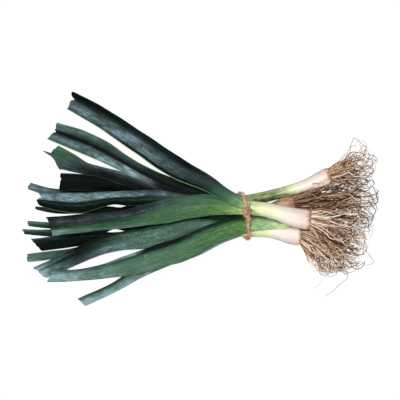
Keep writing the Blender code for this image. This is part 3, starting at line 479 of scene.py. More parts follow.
             0.85: {-1: 0.35, -0.5: 0.6, 0: 0.4, 0.25: 0.05, 1: 0},
             1: {-1: 0.65, -0.3: 0.6, 0.15: 0.3, 0.3: 0, 1: 0}},
        edge=(0.5, 0.15)),
}


def overLeaf(stages, places, v):
    # profiles across the leaf, blended along it
    lines = np.array([spread(profile, v) for profile in stages.values()])
    return np.stack([np.interp(places, list(stages), line) for line in lines.T], axis=1)


def leafSheet(leaf, places, across, lift):
    # the under side of a blade, one row of points for each place along it
    look = leafLook
    path = throughRows(leaf["rows"], places)
    ahead, side = headings(path)
    length = planLength(leaf["rows"])
    distance = np.asarray(places) * length
    fold = np.clip(distance / look["baseLength"], 0, 1)
    r = (look["baseRounding"] + (look["keelRounding"] - look["baseRounding"]) * fold)[:, None]
    keel = (leaf["keel"] * fold)[:, None]
    v = across[None, :]
    u = np.abs(v - keel) / np.where(v > keel, 1 - keel, 1 + keel)
    bend = (np.sqrt(u**2 + r**2) - r) / (np.sqrt(1 + r**2) - r)
    fall = np.where(v > keel, path[:, 3:4], path[:, 4:5])
    slant, end = [np.clip(1 - (length - distance) / look[label], 0, 1)[:, None]
                  for label in ("tipCut", "tipShape")]
    onward = (v * slant * leaf["cut"]
              + end ** look["tipEase"] * spread(leaf.get("tip", {0: 0}), across))
    plan = (path[:, None, :2] + side[:, None, :] * (v * path[:, 2:3])[..., None]
            + ahead[:, None, :] * onward[..., None])
    height = (lift(distance)[:, None] - fall * bend
              + overLeaf(leaf.get("curl", {0: {0: 0}}), places, across))
    return np.concatenate((plan, height[..., None]), axis=2)


def keelLift(node, leaf):
    # the height of the solid's under side along its keel, read from the solid itself
    solid = BVHTree.FromObject(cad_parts[node], bpy.context.evaluated_depsgraph_get())
    length = planLength(leaf["rows"])
    steps = np.arange(1.0, length - 0.5, 1.0)
    ridge = leafSheet(leaf, steps / length, np.array([leaf["keel"], 1.0]), np.zeros_like)[:, 0]
    found, heights = [], []
    for distance, point in zip(steps, ridge):
        hit = solid.ray_cast(Vector((point[0] * mm, point[1] * mm, -0.01)), Vector((0, 0, 1)))[0]
        if hit is not None:
            found.append(distance)
            heights.append(hit.z / mm - point[2])
    window = leafLook["liftWindow"]
    heights = np.pad(heights, window // 2, mode="edge")
    heights = np.convolve(heights, np.ones(window) / window, mode="valid")
    return lambda d: np.interp(d, found, heights)


def upperSide(sheet, thickness):
    normal = np.cross(np.gradient(sheet, axis=0), np.gradient(sheet, axis=1))
    normal *= np.sign(normal[..., 2:3])
    normal /= np.linalg.norm(normal, axis=2)[..., None]
    return sheet + normal * thickness


def sheetTop(rows, columns):
    corners = [i * columns + j for i in range(rows - 1) for j in range(columns - 1)]
    return [(a, a + 1, a + columns + 1, a + columns) for a in corners]


def sheetFaces(rows, columns):
    # the upper side, the under side and the rim that closes them
    other = rows * columns
    faces = sheetTop(rows, columns)
    faces += [tuple(other + k for k in reversed(quad)) for quad in faces]
    rim = [i * columns for i in range(rows)]
    rim += [(rows - 1) * columns + j for j in range(1, columns)]
    rim += [i * columns + columns - 1 for i in range(rows - 2, -1, -1)]
    rim += [j for j in range(columns - 2, 0, -1)]
    for k, a in enumerate(rim):
        b = rim[(k + 1) % len(rim)]
        faces.append((a, b, other + b, other + a))
    return faces


def makeLeaf(node, leaf, materials, seed):
    look = leafLook
    draw = random.Random(seed)
    length = planLength(leaf["rows"])
    rows = int(length / look["stepAlong"]) + 1
    places = np.linspace(0, 1, rows)
    distance = places * length
    v = np.linspace(-1, 1, look["across"])
    v = v + leaf["keel"] * (1 - np.abs(v))
    under = leafSheet(leaf, places, v, keelLift(node, leaf))
    half = np.linalg.norm(under[:, 0, :2] - under[:, -1, :2], axis=1)[:, None] / 2
    grown = places[:, None]
    driftIn, ridgeIn, shadeIn = [np.clip(grown / look[label], 0, 1)
                                 for label in ("driftIn", "ridgeIn", "shadeIn")]
    # margins ripple and wander a little, more towards the tip
    start = look["rippleFrom"]
    for side in (-1, 1):
        reach = np.clip((side * v - start) / (1 - start), 0, 1) ** 2
        ripple = look["ripple"] * smoothNoise(draw, distance, look["rippleSpacing"])
        under[..., 2] += grown * reach * ripple[:, None]
        drift = look["drift"] * smoothNoise(draw, distance, look["driftSpacing"])
        under[..., 1] += driftIn * reach * drift[:, None]
    ribs = smoothNoise(draw, (v + 1) * half.mean(), look["ridgeSpacing"])
    under[..., 2] += look["ridge"] * ribs * ridgeIn * (1 - np.abs(v) ** 4)
    under[..., 2] = np.maximum(under[..., 2], 0.0)
    ragged = look["ragged"] * smoothNoise(draw, np.arange(len(v)), look["raggedSpacing"])
    heading = under[-1] - under[-6]
    heading /= np.linalg.norm(heading, axis=1)[:, None]
    shares = np.array(look["raggedRows"])[:, None, None]
    under[-len(shares):, :, :2] += shares * ragged[:, None] * heading[:, :2]
    thick = look["thinnest"] + (look["thickest"] - look["thinnest"]) * (1 - np.abs(v) ** 3)
    upper = upperSide(under, thick[None, :, None])
    around = v * half + seed * look["patternStep"]
    uv = np.stack(np.broadcast_arrays(around, distance[:, None]), axis=2).reshape(-1, 2)
    # the green, darkened by painted shade where a wing faces away from the light or lies in a gap
    ripe = (spread(leaf["green"], places)[:, None] + spread(leaf.get("shade", {0: 0}), v) * shadeIn
            + overLeaf(leaf.get("dark", {0: {0: 0}}), places, v))
    rim = 1 - look["rim"]
    near, far = leaf.get("edge", look["edge"])
    margin = spread({-1: near, -rim: 0, rim: 0, 1: far}, v) + 0 * grown
    values = {"wax": overLeaf(leaf["wax"], places, v), "ripe": ripe, "margin": margin}
    points = np.concatenate((upper.reshape(-1, 3), under.reshape(-1, 3)))
    piece = meshPiece(pieceName(node), points, sheetFaces(rows, len(v)), materials[leaf["skin"]],
                      np.tile(uv, (2, 1)), {label: np.tile(value.ravel(), 2)
                                            for label, value in values.items()})
    dress(piece, node)
    return piece, points, upper


# Water drops left from washing, small bright beads where the wax holds them. Density is drops
# to a square millimetre, across is in v.

dewLook = {
    "leek_4_leaf_2": dict(seed=5, density=0.3, shares=(0.14, 0.68), across=(-0.9, 0.7)),
    "leek_4_leaf_1": dict(seed=6, density=0.07, shares=(0.35, 0.98), across=(-0.8, 0.35)),
    "leek_3_leaf_3": dict(seed=7, density=0.15, shares=(0.28, 0.56), across=(0.15, 0.85)),
    "leek_3_leaf_2": dict(seed=8, density=0.035, shares=(0.1, 0.7), across=(-0.7, 0.7)),
}
dewSize = dict(Smallest=0.18 * mm, Largest=0.52 * mm, Flat=0.55, Rarity=2.5)
# drops thin out towards the ends and sides of their stretch, and lie in patches
dewSpread = dict(fade=0.2, fadeEase=1.5, patchy=0.4, patchSpacing=0.05)


def dewMaterial():
    material, tree, shader = newMaterial("water drops")
    setInputs(tree, shader, {"Base Color": toLinear("#d8e8e6"), "Roughness": 0.08,
                             "Transmission Weight": 0.5, "IOR": 1.33})
    return material


def dewTree(material):
    # the higher Rarity is, the fewer drops are large
    sizes = dict(Smallest=1.0, Largest=1.0, Flat=0.5, Rarity=1.0, Seed=1)
    tree, given = newTree("water drops", sizes)
    wet = addNode(tree, "GeometryNodeInputNamedAttribute", {"Name": "dew"}).outputs["Attribute"]
    sown = addNode(tree, "GeometryNodeDistributePointsOnFaces", {
        "Mesh": given["Geometry"], "Density": wet, "Seed": given["Seed"]})
    bead = addNode(tree, "GeometryNodeMeshIcoSphere", {"Radius": 1.0, "Subdivisions": 2})
    flat = addNode(tree, "ShaderNodeCombineXYZ", {"X": 1.0, "Y": 1.0, "Z": given["Flat"]})
    bead = addNode(tree, "GeometryNodeTransform", {"Geometry": bead, "Scale": flat})
    size = addNode(tree, "FunctionNodeRandomValue", {2: 0.0, 3: 1.0, "Seed": 21}).outputs[1]
    size = addNode(tree, "ShaderNodeMath", {0: size, 1: given["Rarity"]}, operation="POWER")
    size = addNode(tree, "ShaderNodeMapRange",
                   inRange(size, given["Smallest"], given["Largest"], 0.0, 1.0))
    beads = addNode(tree, "GeometryNodeInstanceOnPoints", {
        "Points": sown, "Instance": bead, "Rotation": sown.outputs["Rotation"], "Scale": size})
    return closeTree(tree, beads, material)


def makeDew(node, leafPiece, upper, tree):
    # the drops grow on a copy of the blade's upper side that holds their density
    spec = dewLook[node]
    rows, columns = upper.shape[:2]
    share = np.linspace(0, 1, rows)[:, None]
    v = np.linspace(-1, 1, columns)[None, :]
    along, across = [np.clip(np.minimum(at - low, high - at) / dewSpread["fade"], 0, 1)
                     for at, (low, high) in ((share, spec["shares"]), (v, spec["across"]))]
    patches = 1 - dewSpread["patchy"] * (1 - smoothNoise(
        random.Random(spec["seed"]), share, dewSpread["patchSpacing"]))
    density = along ** dewSpread["fadeEase"] * across * patches * spec["density"] / mm ** 2
    bed = meshPiece("bed", upper.reshape(-1, 3), sheetTop(rows, columns),
                    leafPiece.data.materials[0], attributes={"dew": density.ravel()})
    piece = runTree(leafPiece.name + "Dew", bed, tree, {**dewSize, "Seed": spec["seed"]})
    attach(piece, "root")


# Leek shaft: rolled pale leaf sheaths with a moist satin skin, ribbed finely along its length.

shaftFinish = dict(
    ribs=(1.1, 45.0, 1.0),
    flush=(4.5, 13.0, 3.0),      # faint longer patches
    patternRoughness=0.5,
    ribShift=0.03,
    flushShift=0.075,
    ribBump=(0.4, 0.1),
    # the last stop, near black, is painted shade deep in the bunch
    stops=[(0.0, "#987659"), (0.06, "#bb987a"), (0.13, "#e0cdc2"), (0.3, "#e6d9cf"),
           (0.5, "#e4e3c2"), (0.66, "#d2dba4"), (0.79, "#a3b27a"), (0.9, "#6c7345"),
           (1.0, "#10190c")],
    surface={"Roughness": 0.38, "Specular IOR Level": 0.3, "Subsurface Weight": 0.5,
             "Subsurface Scale": 0.004, "Subsurface Radius": (1.0, 0.8, 0.5)},
)


def shaftMaterial():
    spec = shaftFinish
    material, tree, shader = newMaterial("fresh leek sheath")
    ribs, flush = [stretchedNoise(tree, spec[label], spec["patternRoughness"])
                   for label in ("ribs", "flush")]
    ripe = addNode(tree, "ShaderNodeAttribute", attribute_name="ripe").outputs["Fac"]
    for pattern, shift in ((flush, spec["flushShift"]), (ribs, spec["ribShift"])):
        shift = addNode(tree, "ShaderNodeMapRange", inRange(pattern, -shift, shift))
        ripe = addNode(tree, "ShaderNodeMath", {0: ripe, 1: shift}, operation="ADD")
    skin = addNode(tree, "ShaderNodeValToRGB", {0: ripe}, stops=spec["stops"])
    strength, depth = spec["ribBump"]
    bump = addNode(tree, "ShaderNodeBump", {
        "Height": ribs, "Strength": strength, "Distance": depth * mm})
    setInputs(tree, shader, {"Base Color": skin, "Normal": bump, **spec["surface"]})
    return material


# Each row is x, y, z, half width, half height, from the basal plate to the neck.
# ripe gives the skin along the shaft, in shares of its length: 0 is the plate, 0.9 olive green
# and 1 near black, the painted shade deep in the bunch. sheath is what a darker band on the -Y
# side adds to that, partly a greener outer sheath and partly painted shade, where it starts, the
# share over which it slants to the shaft's middle, and how sharp its edge is.

shaftRows = {
    "leek_1_shaft": dict(
        rows=[(172, 33, 7.8, 8.4, 8.0), (169, 32, 8.9, 10, 9.6), (158, 27, 9.2, 10.4, 10),
              (144, 21, 9.4, 8.6, 8.6), (119, 13, 9, 7.2, 7.2), (93, 6, 10, 7.2, 7.2),
              (75, 1.6, 11.6, 7.6, 7.8), (60, -1.8, 13.4, 8.2, 8.6), (44, -2.8, 13, 8, 5.6),
              (30, -2.5, 11.6, 8.6, 2.8), (20, -2.5, 10.4, 8.2, 1)],
        ripe={0: 0, 0.03: 0.06, 0.06: 0.16, 0.2: 0.28, 0.28: 0.38, 0.34: 0.6, 0.42: 0.77, 0.55: 0.84,
              1: 0.84},
        sheath=(0.11, 0.2, 0.154, 1)),
    "leek_2_shaft": dict(
        rows=[(124, -4.6, 10, 8.6, 8.6), (121, -5.2, 10, 10.6, 10.6), (112, -7.8, 10.9, 11.9, 11.7),
              (98, -12, 10.1, 9.8, 9.8), (80, -16, 11.2, 8.8, 8.8), (60, -19.5, 13, 8.6, 8.6),
              (44, -20.8, 12.8, 8.5, 5.4), (30, -21, 11.4, 8.5, 2.8), (20, -21, 10.2, 8, 1)],
        # past its middle leek 2's shaft goes near black with painted shade, deep in the bunch
        ripe={0: 0, 0.1: 0.02, 0.3: 0.05, 0.5: 0.5, 0.6: 1.1, 1: 1.15}),
    "leek_3_shaft": dict(
        rows=[(144.8, -25.8, 26.8, 10, 10), (142.3, -25.6, 27.4, 12, 12),
              (133, -24.6, 28.6, 12.7, 12.7), (116, -20.8, 30.4, 11.8, 12),
              (98, -15.6, 32, 9.8, 10.4), (85, -12.4, 31.8, 9.3, 9.7), (72, -11, 31.8, 9.2, 9.6),
              (60, -9.5, 32.2, 9.3, 9.5), (44, -9, 33.4, 9.7, 6), (30, -9, 34.4, 9.8, 2.8),
              (20, -9.5, 34.8, 9.5, 1)],
        ripe={0: 0.02, 0.03: 0.06, 0.07: 0.15, 0.25: 0.3, 0.42: 0.52, 0.55: 0.64, 0.75: 0.76, 1: 0.85},
        sheath=(0.13, 0.49, 0.14, 6)),
    "leek_4_shaft": dict(
        rows=[(134, -46.6, 10.8, 9.2, 9.2), (131, -46.4, 11.1, 11.4, 11.8),
              (120, -45.6, 11.7, 12.2, 12.5), (107, -43, 11.1, 10.6, 11), (95, -40.6, 11.2, 9.4, 10),
              (78, -39, 12.6, 9.2, 9.8), (60, -38.6, 15, 9.5, 10.2), (44, -39, 13.6, 8.8, 6),
              (30, -40.8, 12, 9.6, 2.8), (20, -41, 10.8, 9, 1)],
        ripe={0: 0, 0.03: 0.06, 0.07: 0.17, 0.3: 0.35, 0.42: 0.56, 0.6: 0.72, 1: 0.86}),
}
shaftLook = dict(
    stepAlong=1.5,
    sides=72,
    shoulder=2.5,         # the shaft rounds off over this length at the root plate
    shoulderDepth=0.22,
    dome=0.6,             # the middle of the root plate stands out this far
    rib=0.12,             # low ribs run along it
    ribSpacing=3.0,       # in sides
    ribClosing=(0.75, 0.5, 0.25),  # the last ribs are lower where the ring closes
    sheathMost=1.3,       # how far over the shaft the sheath comes from -Y, in half widths
    patternStep=53.0,
)


def makeShaft(node, shaft, material, seed):
    look = shaftLook
    sides = look["sides"]
    length = planLength(shaft["rows"])
    rings = int(length / look["stepAlong"]) + 1
    places = np.linspace(0, 1, rings)
    distance = places * length
    path = throughRows(shaft["rows"], places)
    ahead, side = headings(path)
    turn = np.arange(sides) * 2 * math.pi / sides
    rib = look["rib"] * smoothNoise(random.Random(seed), np.arange(sides), look["ribSpacing"])
    rib[-len(look["ribClosing"]):] *= look["ribClosing"]
    rounding = 1 - look["shoulderDepth"] * np.clip(1 - distance / look["shoulder"], 0, 1) ** 2
    wide, tall = [(path[:, column] * rounding)[:, None] + rib for column in (3, 4)]
    plan = path[:, None, :2] + side[:, None, :] * (wide * np.cos(turn))[..., None]
    height = np.maximum(0, path[:, 2:3] + tall * np.sin(turn))
    points = np.concatenate((plan, height[..., None]), axis=2)
    dome = points[0].mean(axis=0) - look["dome"] * np.append(ahead[0], 0)
    faces = []
    for i in range(rings - 1):
        for j in range(sides):
            a, b = i * sides + j, i * sides + (j + 1) % sides
            faces.append((a, a + sides, b + sides, b))
    first, last = rings * sides, rings * sides + 1
    for j in range(sides):
        k = (j + 1) % sides
        faces += [(first, j, k), (last, (rings - 1) * sides + k, (rings - 1) * sides + j)]
    girth = (np.arange(sides) + 1) * 2 * math.pi * path[:, 3].mean() / sides
    uv = np.stack(np.broadcast_arrays(girth, distance[:, None]), axis=2).reshape(-1, 2)
    uv = np.concatenate((uv, [[0, 0], [0, length]])) + seed * look["patternStep"]
    # a darker band may cover the -Y side, slanting across the shaft as it widens to the neck; it is
    # partly a greener outer sheath and partly painted shade
    amount, start, reach, sharpness = shaft.get("sheath", (0, 0, 1, 1))
    cover = np.minimum((places - start) / reach, look["sheathMost"])[:, None] - 1 - np.cos(turn)
    ripe = spread(shaft["ripe"], places)[:, None] + amount * np.clip(cover * sharpness, 0, 1)
    points = points.reshape(-1, 3)
    piece = meshPiece(pieceName(node), np.concatenate((points, [dome, points[-sides:].mean(axis=0)])),
                      faces, material, uv, {"ripe": np.append(ripe, (0.0, 1.0))})
    dress(piece, node)
    return points


# Dry leek roots: matt tan fibres, paler on top and darker underneath, partly from drying and partly
# painted light and shade.

rootFinish = dict(
    stops=[(0.0, "#38231a"), (0.25, "#7e563a"), (0.5, "#b48b68"), (0.75, "#d9ba9a"),
           (1.0, "#f2e5d6")],
    roughness=0.8,
    barkWidth=1.6,
    barkShift=0.12,
    barkBump=(0.4, 0.15),
)


def rootMaterial():
    spec = rootFinish
    material, tree, shader = newMaterial("dry leek root")
    tint = addNode(tree, "ShaderNodeAttribute", attribute_name="tint").outputs["Fac"]
    place = addNode(tree, "ShaderNodeTexCoord").outputs["Object"]
    bark = addNode(tree, "ShaderNodeTexNoise", {
        "Vector": place, "Scale": 1 / (spec["barkWidth"] * mm), "Detail": 2.0})
    shift = addNode(tree, "ShaderNodeMapRange", inRange(bark, -spec["barkShift"], spec["barkShift"]))
    both = addNode(tree, "ShaderNodeMath", {0: tint, 1: shift}, operation="ADD")
    skin = addNode(tree, "ShaderNodeValToRGB", {0: both}, stops=spec["stops"])
    strength, depth = spec["barkBump"]
    bump = addNode(tree, "ShaderNodeBump", {
        "Height": bark, "Strength": strength, "Distance": depth * mm})
    setInputs(tree, shader, {"Base Color": skin, "Roughness": spec["roughness"], "Normal": bump})
    return material


# Each tuft: place and radius of the basal plate, the leek's own direction there, the fan of
# directions and reaches from its far side to its near side, and how high its roots stand.
# Hairs are finer roots that reach further, strays the few long ones that the photo shows.

rootTufts = {
    "leek_1_roots": dict(
        plate=(172.2, 33.1, 8.2), radius=9.0, heading=22, rim=0.4, top=24, tint=0.49,
        fan=[(23, 54), (18, 58), (10, 58), (2, 54), (-10, 48)], count=80,
        hairs=[(44, 56), (36, 62), (26, 66), (12, 64), (-4, 60)], hairCount=30,
        strays=[[(172, 35, 9), (186, 46, 14), (197, 62, 16), (200, 79, 12), (209, 76, 9),
                 (217, 66, 8), (214, 60, 10)],
                [(172, 36, 9), (184, 50, 13), (196, 66, 18), (203, 72, 15), (203, 58, 11)]]),
    # leek 2's roots take a low tint, partly painted shade
    "leek_2_roots": dict(
        plate=(124.0, -4.6, 10.2), radius=10.2, heading=14, rim=0.3, top=25, tint=0.28,
        fan=[(24, 62), (15, 103), (8, 113), (0, 113), (-10, 95)], count=152,
        hairs=[(22, 78), (12, 104), (4, 105), (-6, 103)], hairCount=32),
    "leek_3_roots": dict(
        plate=(145.0, -25.9, 26.8), radius=11.6, heading=-8, rim=0.6, top=36, tint=0.44,
        fan=[(7, 70), (-5, 83), (-16, 81), (-27, 77), (-38, 62)], count=140,
        hairs=[(2, 88), (-10, 87), (-22, 83), (-32, 79)], hairCount=28),
    "leek_4_roots": dict(
        plate=(134.0, -46.6, 10.8), radius=10.8, heading=-16, rim=0.5, top=23, tint=0.57,
        fan=[(10, 70), (-14, 91), (-30, 92), (-43, 74), (-52, 50)], count=142,
        hairs=[(-10, 85), (-22, 90), (-36, 87), (-46, 71), (-54, 57)], hairCount=40,
        strays=[[(134, -52, 10), (150, -78, 12), (165, -97, 8), (160, -106, 5), (149, -116, 3)],
                [(134, -50, 11), (172, -72, 14), (195, -98, 9), (184, -110, 5), (163, -127, 2)],
                [(134, -46, 11), (190, -62, 14), (219, -67, 9), (227, -82, 5), (216, -85, 4)]]),
}
rootLook = dict(
    points=46,
    floor=0.9,
    inset=2.2,            # a root starts inside the shaft's rounded shoulder
    rimReach=0.95,        # roots start over most of the plate's width, scattered a little
    rimScatter=0.3,
    rimMost=0.97,
    locks=13,             # roots cling together in locks
    lockScatter=0.1,
    lockBends=((0.2, 34, 0.6), (0.1, 34, 1.3)),  # spacing, degrees, and how late bends grow
    ownBends=((0.14, 42, 0.8), (0.07, 50, 1.6)),
    curl=110,             # degrees that an end may curl up through
    curlFrom=0.7,
    curlEase=1.4,
    straight=0.3,         # over this share a root still runs the leek's own way
    straightEase=1.5,
    landingLeast=0.35,    # roots from low on the plate land lower
    liftSpacing=0.12,
    lift=5,
    shortest=0.4,
    evenness=0.9,
    plump=(0.45, 1.0),
    hair=0.42,
    hairPlump=(0.8, 1.3),
    hairReach=0.75,
    hairBends=1.2,        # how much more a hair bends than a lock
    hairCurl=200,
    stray=0.46,
    strayBends=3.0,
    straySpacing=0.1,
    strayLift=0.3,
)
# Shades is how much roots differ in tint; Underneath, OnTop and PaleEnd are added to the tint,
# Underneath as painted shade low in the tuft and OnTop as painted light on top
rootShape = dict(Thickness=1.0 * mm, Tip=0.55, Crinkle=4.0 * mm, CrinkleSize=5.0 * mm, Sides=5,
                 TaperStart=0.1, Shades=0.46, Underneath=-0.48, OnTop=0.2, PaleEnd=0.08)


def bending(draw, t, bends):
    # degrees off the straight way, in bends that grow towards the root's end
    return sum(smoothNoise(draw, t, spacing) * degrees * t ** late
               for spacing, degrees, late in bends)


def rootGuide(tuft, draw, angle, reach, across, lock, curl):
    look = rootLook
    heading = math.radians(tuft["heading"])
    rise = draw.uniform(-1, 1)
    scatter = draw.uniform(-look["rimScatter"], look["rimScatter"])
    wide = tuft["radius"] * np.clip(look["rimReach"] * across + scatter,
                                    -look["rimMost"], look["rimMost"])
    tall = look["rimReach"] * rise * math.sqrt(max(0.0, tuft["radius"] ** 2 - wide ** 2))
    inset = look["inset"]
    start = np.array(tuft["plate"]) + (-wide * math.sin(heading) - inset * math.cos(heading),
                                       wide * math.cos(heading) - inset * math.sin(heading), tall)
    t = np.linspace(0, 1, look["points"])
    # a root follows its lock, wanders off a little on its own, and curls up near its end
    wander = lock + bending(draw, t, look["ownBends"])
    curl *= draw.choice((-1, 1)) * draw.uniform(0.1, 1)
    late = np.clip((t - look["curlFrom"]) / (1 - look["curlFrom"]), 0, 1)
    way = np.radians(wander + curl * late ** look["curlEase"])
    x, y = [np.concatenate(([0], np.cumsum(step[:-1]))) for step in (np.cos(way), np.sin(way))]
    far = int(np.argmax(np.hypot(x, y)))
    turn = angle - math.atan2(y[far], x[far])
    grow = reach / math.hypot(x[far], y[far])
    x, y = (grow * (x * math.cos(turn) - y * math.sin(turn)),
            grow * (x * math.sin(turn) + y * math.cos(turn)))
    # near the plate it still runs the leek's own way, spreading from its rim
    early = np.clip(1 - t / look["straight"], 0, 1)[1:] ** look["straightEase"]
    step = np.hypot(np.diff(x), np.diff(y))
    first = heading + tuft["rim"] * wide / tuft["radius"]
    dx = np.diff(x) * (1 - early) + step * early * math.cos(first)
    dy = np.diff(y) * (1 - early) + step * early * math.sin(first)
    x, y = [begin + np.concatenate(([0], np.cumsum(d))) for begin, d in zip(start, (dx, dy))]
    least = look["landingLeast"]
    landing = draw.uniform(0.0, tuft["top"]) * (least + (1 - least) * (rise + 1) / 2)
    z = start[2] + (landing - start[2]) * (3 * t ** 2 - 2 * t ** 3)
    z = z + smoothNoise(draw, t, look["liftSpacing"]) * look["lift"] * t
    return np.stack((x, y, np.maximum(z, look["floor"])), axis=1)


def rootTree(material):
    sizes = dict(Thickness=1.0, Tip=0.5, Crinkle=1.0, CrinkleSize=1.0, Sides=5, TaperStart=0.1,
                 Shades=0.5, Underneath=-0.5, OnTop=0.5, PaleEnd=0.2, Tint=0.5, Top=1.0)
    tree, given = newTree("root tuft", sizes)
    owner = addNode(tree, "GeometryNodeCurveOfPoint").outputs["Curve Index"]
    along = addNode(tree, "GeometryNodeSplineParameter").outputs["Factor"]
    place = addNode(tree, "GeometryNodeInputPosition")
    # each root crinkles in its own way, more towards its end
    apart = addNode(tree, "ShaderNodeMath", {0: owner, 1: 3.7}, operation="MULTIPLY")
    fineness = addNode(tree, "ShaderNodeMath", {0: 1.0, 1: given["CrinkleSize"]}, operation="DIVIDE")
    noise = addNode(tree, "ShaderNodeTexNoise", {
        "Vector": place, "W": apart, "Scale": fineness, "Detail": 2.0}, noise_dimensions="4D")
    centred = addNode(tree, "ShaderNodeVectorMath", {0: noise.outputs["Color"], 1: (0.5, 0.5, 0.5)},
                      operation="SUBTRACT")
    grown = addNode(tree, "ShaderNodeMath", {0: along, 1: given["Crinkle"]}, operation="MULTIPLY")
    sway = addNode(tree, "ShaderNodeVectorMath", {0: centred, "Scale": grown}, operation="SCALE")
    bent = addNode(tree, "GeometryNodeSetPosition", {"Geometry": given["Geometry"], "Offset": sway})
    radius = addNode(tree, "ShaderNodeMapRange",
                     inRange(along, 1.0, given["Tip"], given["TaperStart"], 1.0))
    for factor in (addNode(tree, "GeometryNodeInputRadius"), given["Thickness"]):
        radius = addNode(tree, "ShaderNodeMath", {0: factor, 1: radius}, operation="MULTIPLY")
    # painted shade and light: roots low in the tuft are darker and roots on top paler, partly as they
    # dried
    least = addNode(tree, "ShaderNodeMath", {0: 0.0, 1: given["Shades"]}, operation="SUBTRACT")
    shade = addNode(tree, "FunctionNodeRandomValue", {
        2: least, 3: given["Shades"], "ID": owner, "Seed": 7}).outputs[1]
    height = addNode(tree, "ShaderNodeSeparateXYZ", {0: place}).outputs["Z"]
    high = addNode(tree, "ShaderNodeMapRange",
                   inRange(height, given["Underneath"], given["OnTop"], 0.0, given["Top"]))
    pale = addNode(tree, "ShaderNodeMath", {0: along, 1: given["PaleEnd"]}, operation="MULTIPLY")
    tint = shade
    for change in (given["Tint"], high, pale):
        tint = addNode(tree, "ShaderNodeMath", {0: tint, 1: change}, operation="ADD")
    marked = addNode(tree, "GeometryNodeStoreNamedAttribute", {
        "Geometry": bent, "Name": "tint", "Value": tint})
    ring = addNode(tree, "GeometryNodeCurvePrimitiveCircle", {
        "Resolution": given["Sides"], "Radius": 1.0})
    tube = addNode(tree, "GeometryNodeCurveToMesh", {
        "Curve": marked, "Profile Curve": ring, "Scale": radius, "Fill Caps": True})
    return closeTree(tree, tube, material)


def makeRoots(node, tuft, tree, seed):
    look = rootLook
    draw = random.Random(seed)
    t = np.linspace(0, 1, look["points"])
    locks = [bending(draw, t, look["lockBends"]) for _ in range(look["locks"])]

    def fanned(fan, share):
        angle, reach = [np.interp(share * (len(fan) - 1), range(len(fan)), column)
                        for column in zip(*fan)]
        return math.radians(angle), reach

    guides, plump = [], []
    for i in range(tuft["count"]):
        # roots of one lock keep close together, and locks cross each other
        own = i % look["locks"]
        share = np.clip((own + 0.5) / look["locks"] + draw.gauss(0, look["lockScatter"]), 0, 1)
        angle, reach = fanned(tuft["fan"], share)
        reach *= look["shortest"] + (1 - look["shortest"]) * draw.uniform(0, 1) ** look["evenness"]
        guides.append(rootGuide(tuft, draw, angle, reach, 1 - 2 * share, locks[own], look["curl"]))
        plump.append(draw.uniform(*look["plump"]))
    for _ in range(tuft["hairCount"]):
        share = draw.uniform(0, 1)
        angle, reach = fanned(tuft["hairs"], share)
        reach *= draw.uniform(look["hairReach"], 1)
        lock = look["hairBends"] * bending(draw, t, look["lockBends"])
        guides.append(rootGuide(tuft, draw, angle, reach, 1 - 2 * share, lock, look["hairCurl"]))
        plump.append(look["hair"] * draw.uniform(*look["hairPlump"]))
    for rows in tuft.get("strays", []):
        sway = [look["strayBends"] * smoothNoise(draw, t, look["straySpacing"]) * np.sin(math.pi * t)
                for _ in range(3)]
        guides.append(throughRows(rows, t) + np.stack(sway, axis=1) * (1, 1, look["strayLift"]))
        plump.append(look["stray"])
    guide = curveObject(node, guides)
    for spline, radius in zip(guide.data.splines, plump):
        spline.points.foreach_set("radius", [radius] * len(spline.points))
    piece = runTree(pieceName(node), guide, tree, {
        **rootShape, "Tint": tuft["tint"], "Top": tuft["top"] * mm})
    dress(piece, node)


# Jute twine: three twisted yarns of dry orange-brown fibre, dull, with loose hairs.

twineLook = dict(
    radius=1.9,
    x=53.0, lean=0.125, skew=0.2, middle=-10,  # its plane leans and is skewed across the bunch
    tuck=0.35, tuckHeight=16.0,                # and is tucked in below
    reach=1.5,                                 # what it ties lies this near its plane
    gap=0.4,
    cornerPoints=24,
    points=220,
    smoothings=3,
    knotY=-15.5, knotLift=1.4,
    wraps=[(-2.3, 0.5), (2.3, -0.4)],          # shift along the twine, and tilt
    wrapRadius=2.7, wrapPoints=28,
    ends=[(0.35, 0.9, 1.5), (-0.5, -0.8, -1.2)],  # across, along and curl
    endLength=8.5, endRise=2.4, endBow=1.2, endPoints=16,
)
# Twist is one full turn of the yarns, Yarn and Offset are shares of the twine's radius, Hairs
# is some 2600 over the 0.003 square metres of its skin, and the last three are shares of a
# hair's length.
twineShape = dict(Radius=twineLook["radius"] * mm, Yarns=3, Yarn=0.53, Offset=0.5,
                  Twist=9.0 * mm, Hairs=2600 / 0.003, Seed=3, HairLength=2.6 * mm,
                  HairShortest=0.3, HairBow=0.7, HairThickness=0.035)
twineFinish = dict(
    stops=[(0.0, "#8a5b3c"), (0.4, "#c1946f"), (0.7, "#dcb798"), (1.0, "#f2dac4")],
    fibreWidth=0.5,
    patchWidth=4.0,
    span=(0.7, 1.3),
    roughness=0.9,
    fibreBump=(0.6, 0.2),
)


def twineMaterial():
    spec = twineFinish
    material, tree, shader = newMaterial("jute twine")
    place = addNode(tree, "ShaderNodeTexCoord").outputs["Object"]
    fibre, patch = [addNode(tree, "ShaderNodeTexNoise", {
        "Vector": place, "Scale": 1 / (spec[label] * mm), "Detail": detail})
        for label, detail in (("fibreWidth", 3.0), ("patchWidth", 1.0))]
    both = addNode(tree, "ShaderNodeMath", {0: fibre, 1: patch}, operation="ADD")
    wide = addNode(tree, "ShaderNodeMapRange", inRange(both, 0.0, 1.0, *spec["span"]))
    skin = addNode(tree, "ShaderNodeValToRGB", {0: wide}, stops=spec["stops"])
    strength, depth = spec["fibreBump"]
    bump = addNode(tree, "ShaderNodeBump", {
        "Height": fibre, "Strength": strength, "Distance": depth * mm})
    setInputs(tree, shader, {"Base Color": skin, "Roughness": spec["roughness"], "Normal": bump})
    return material


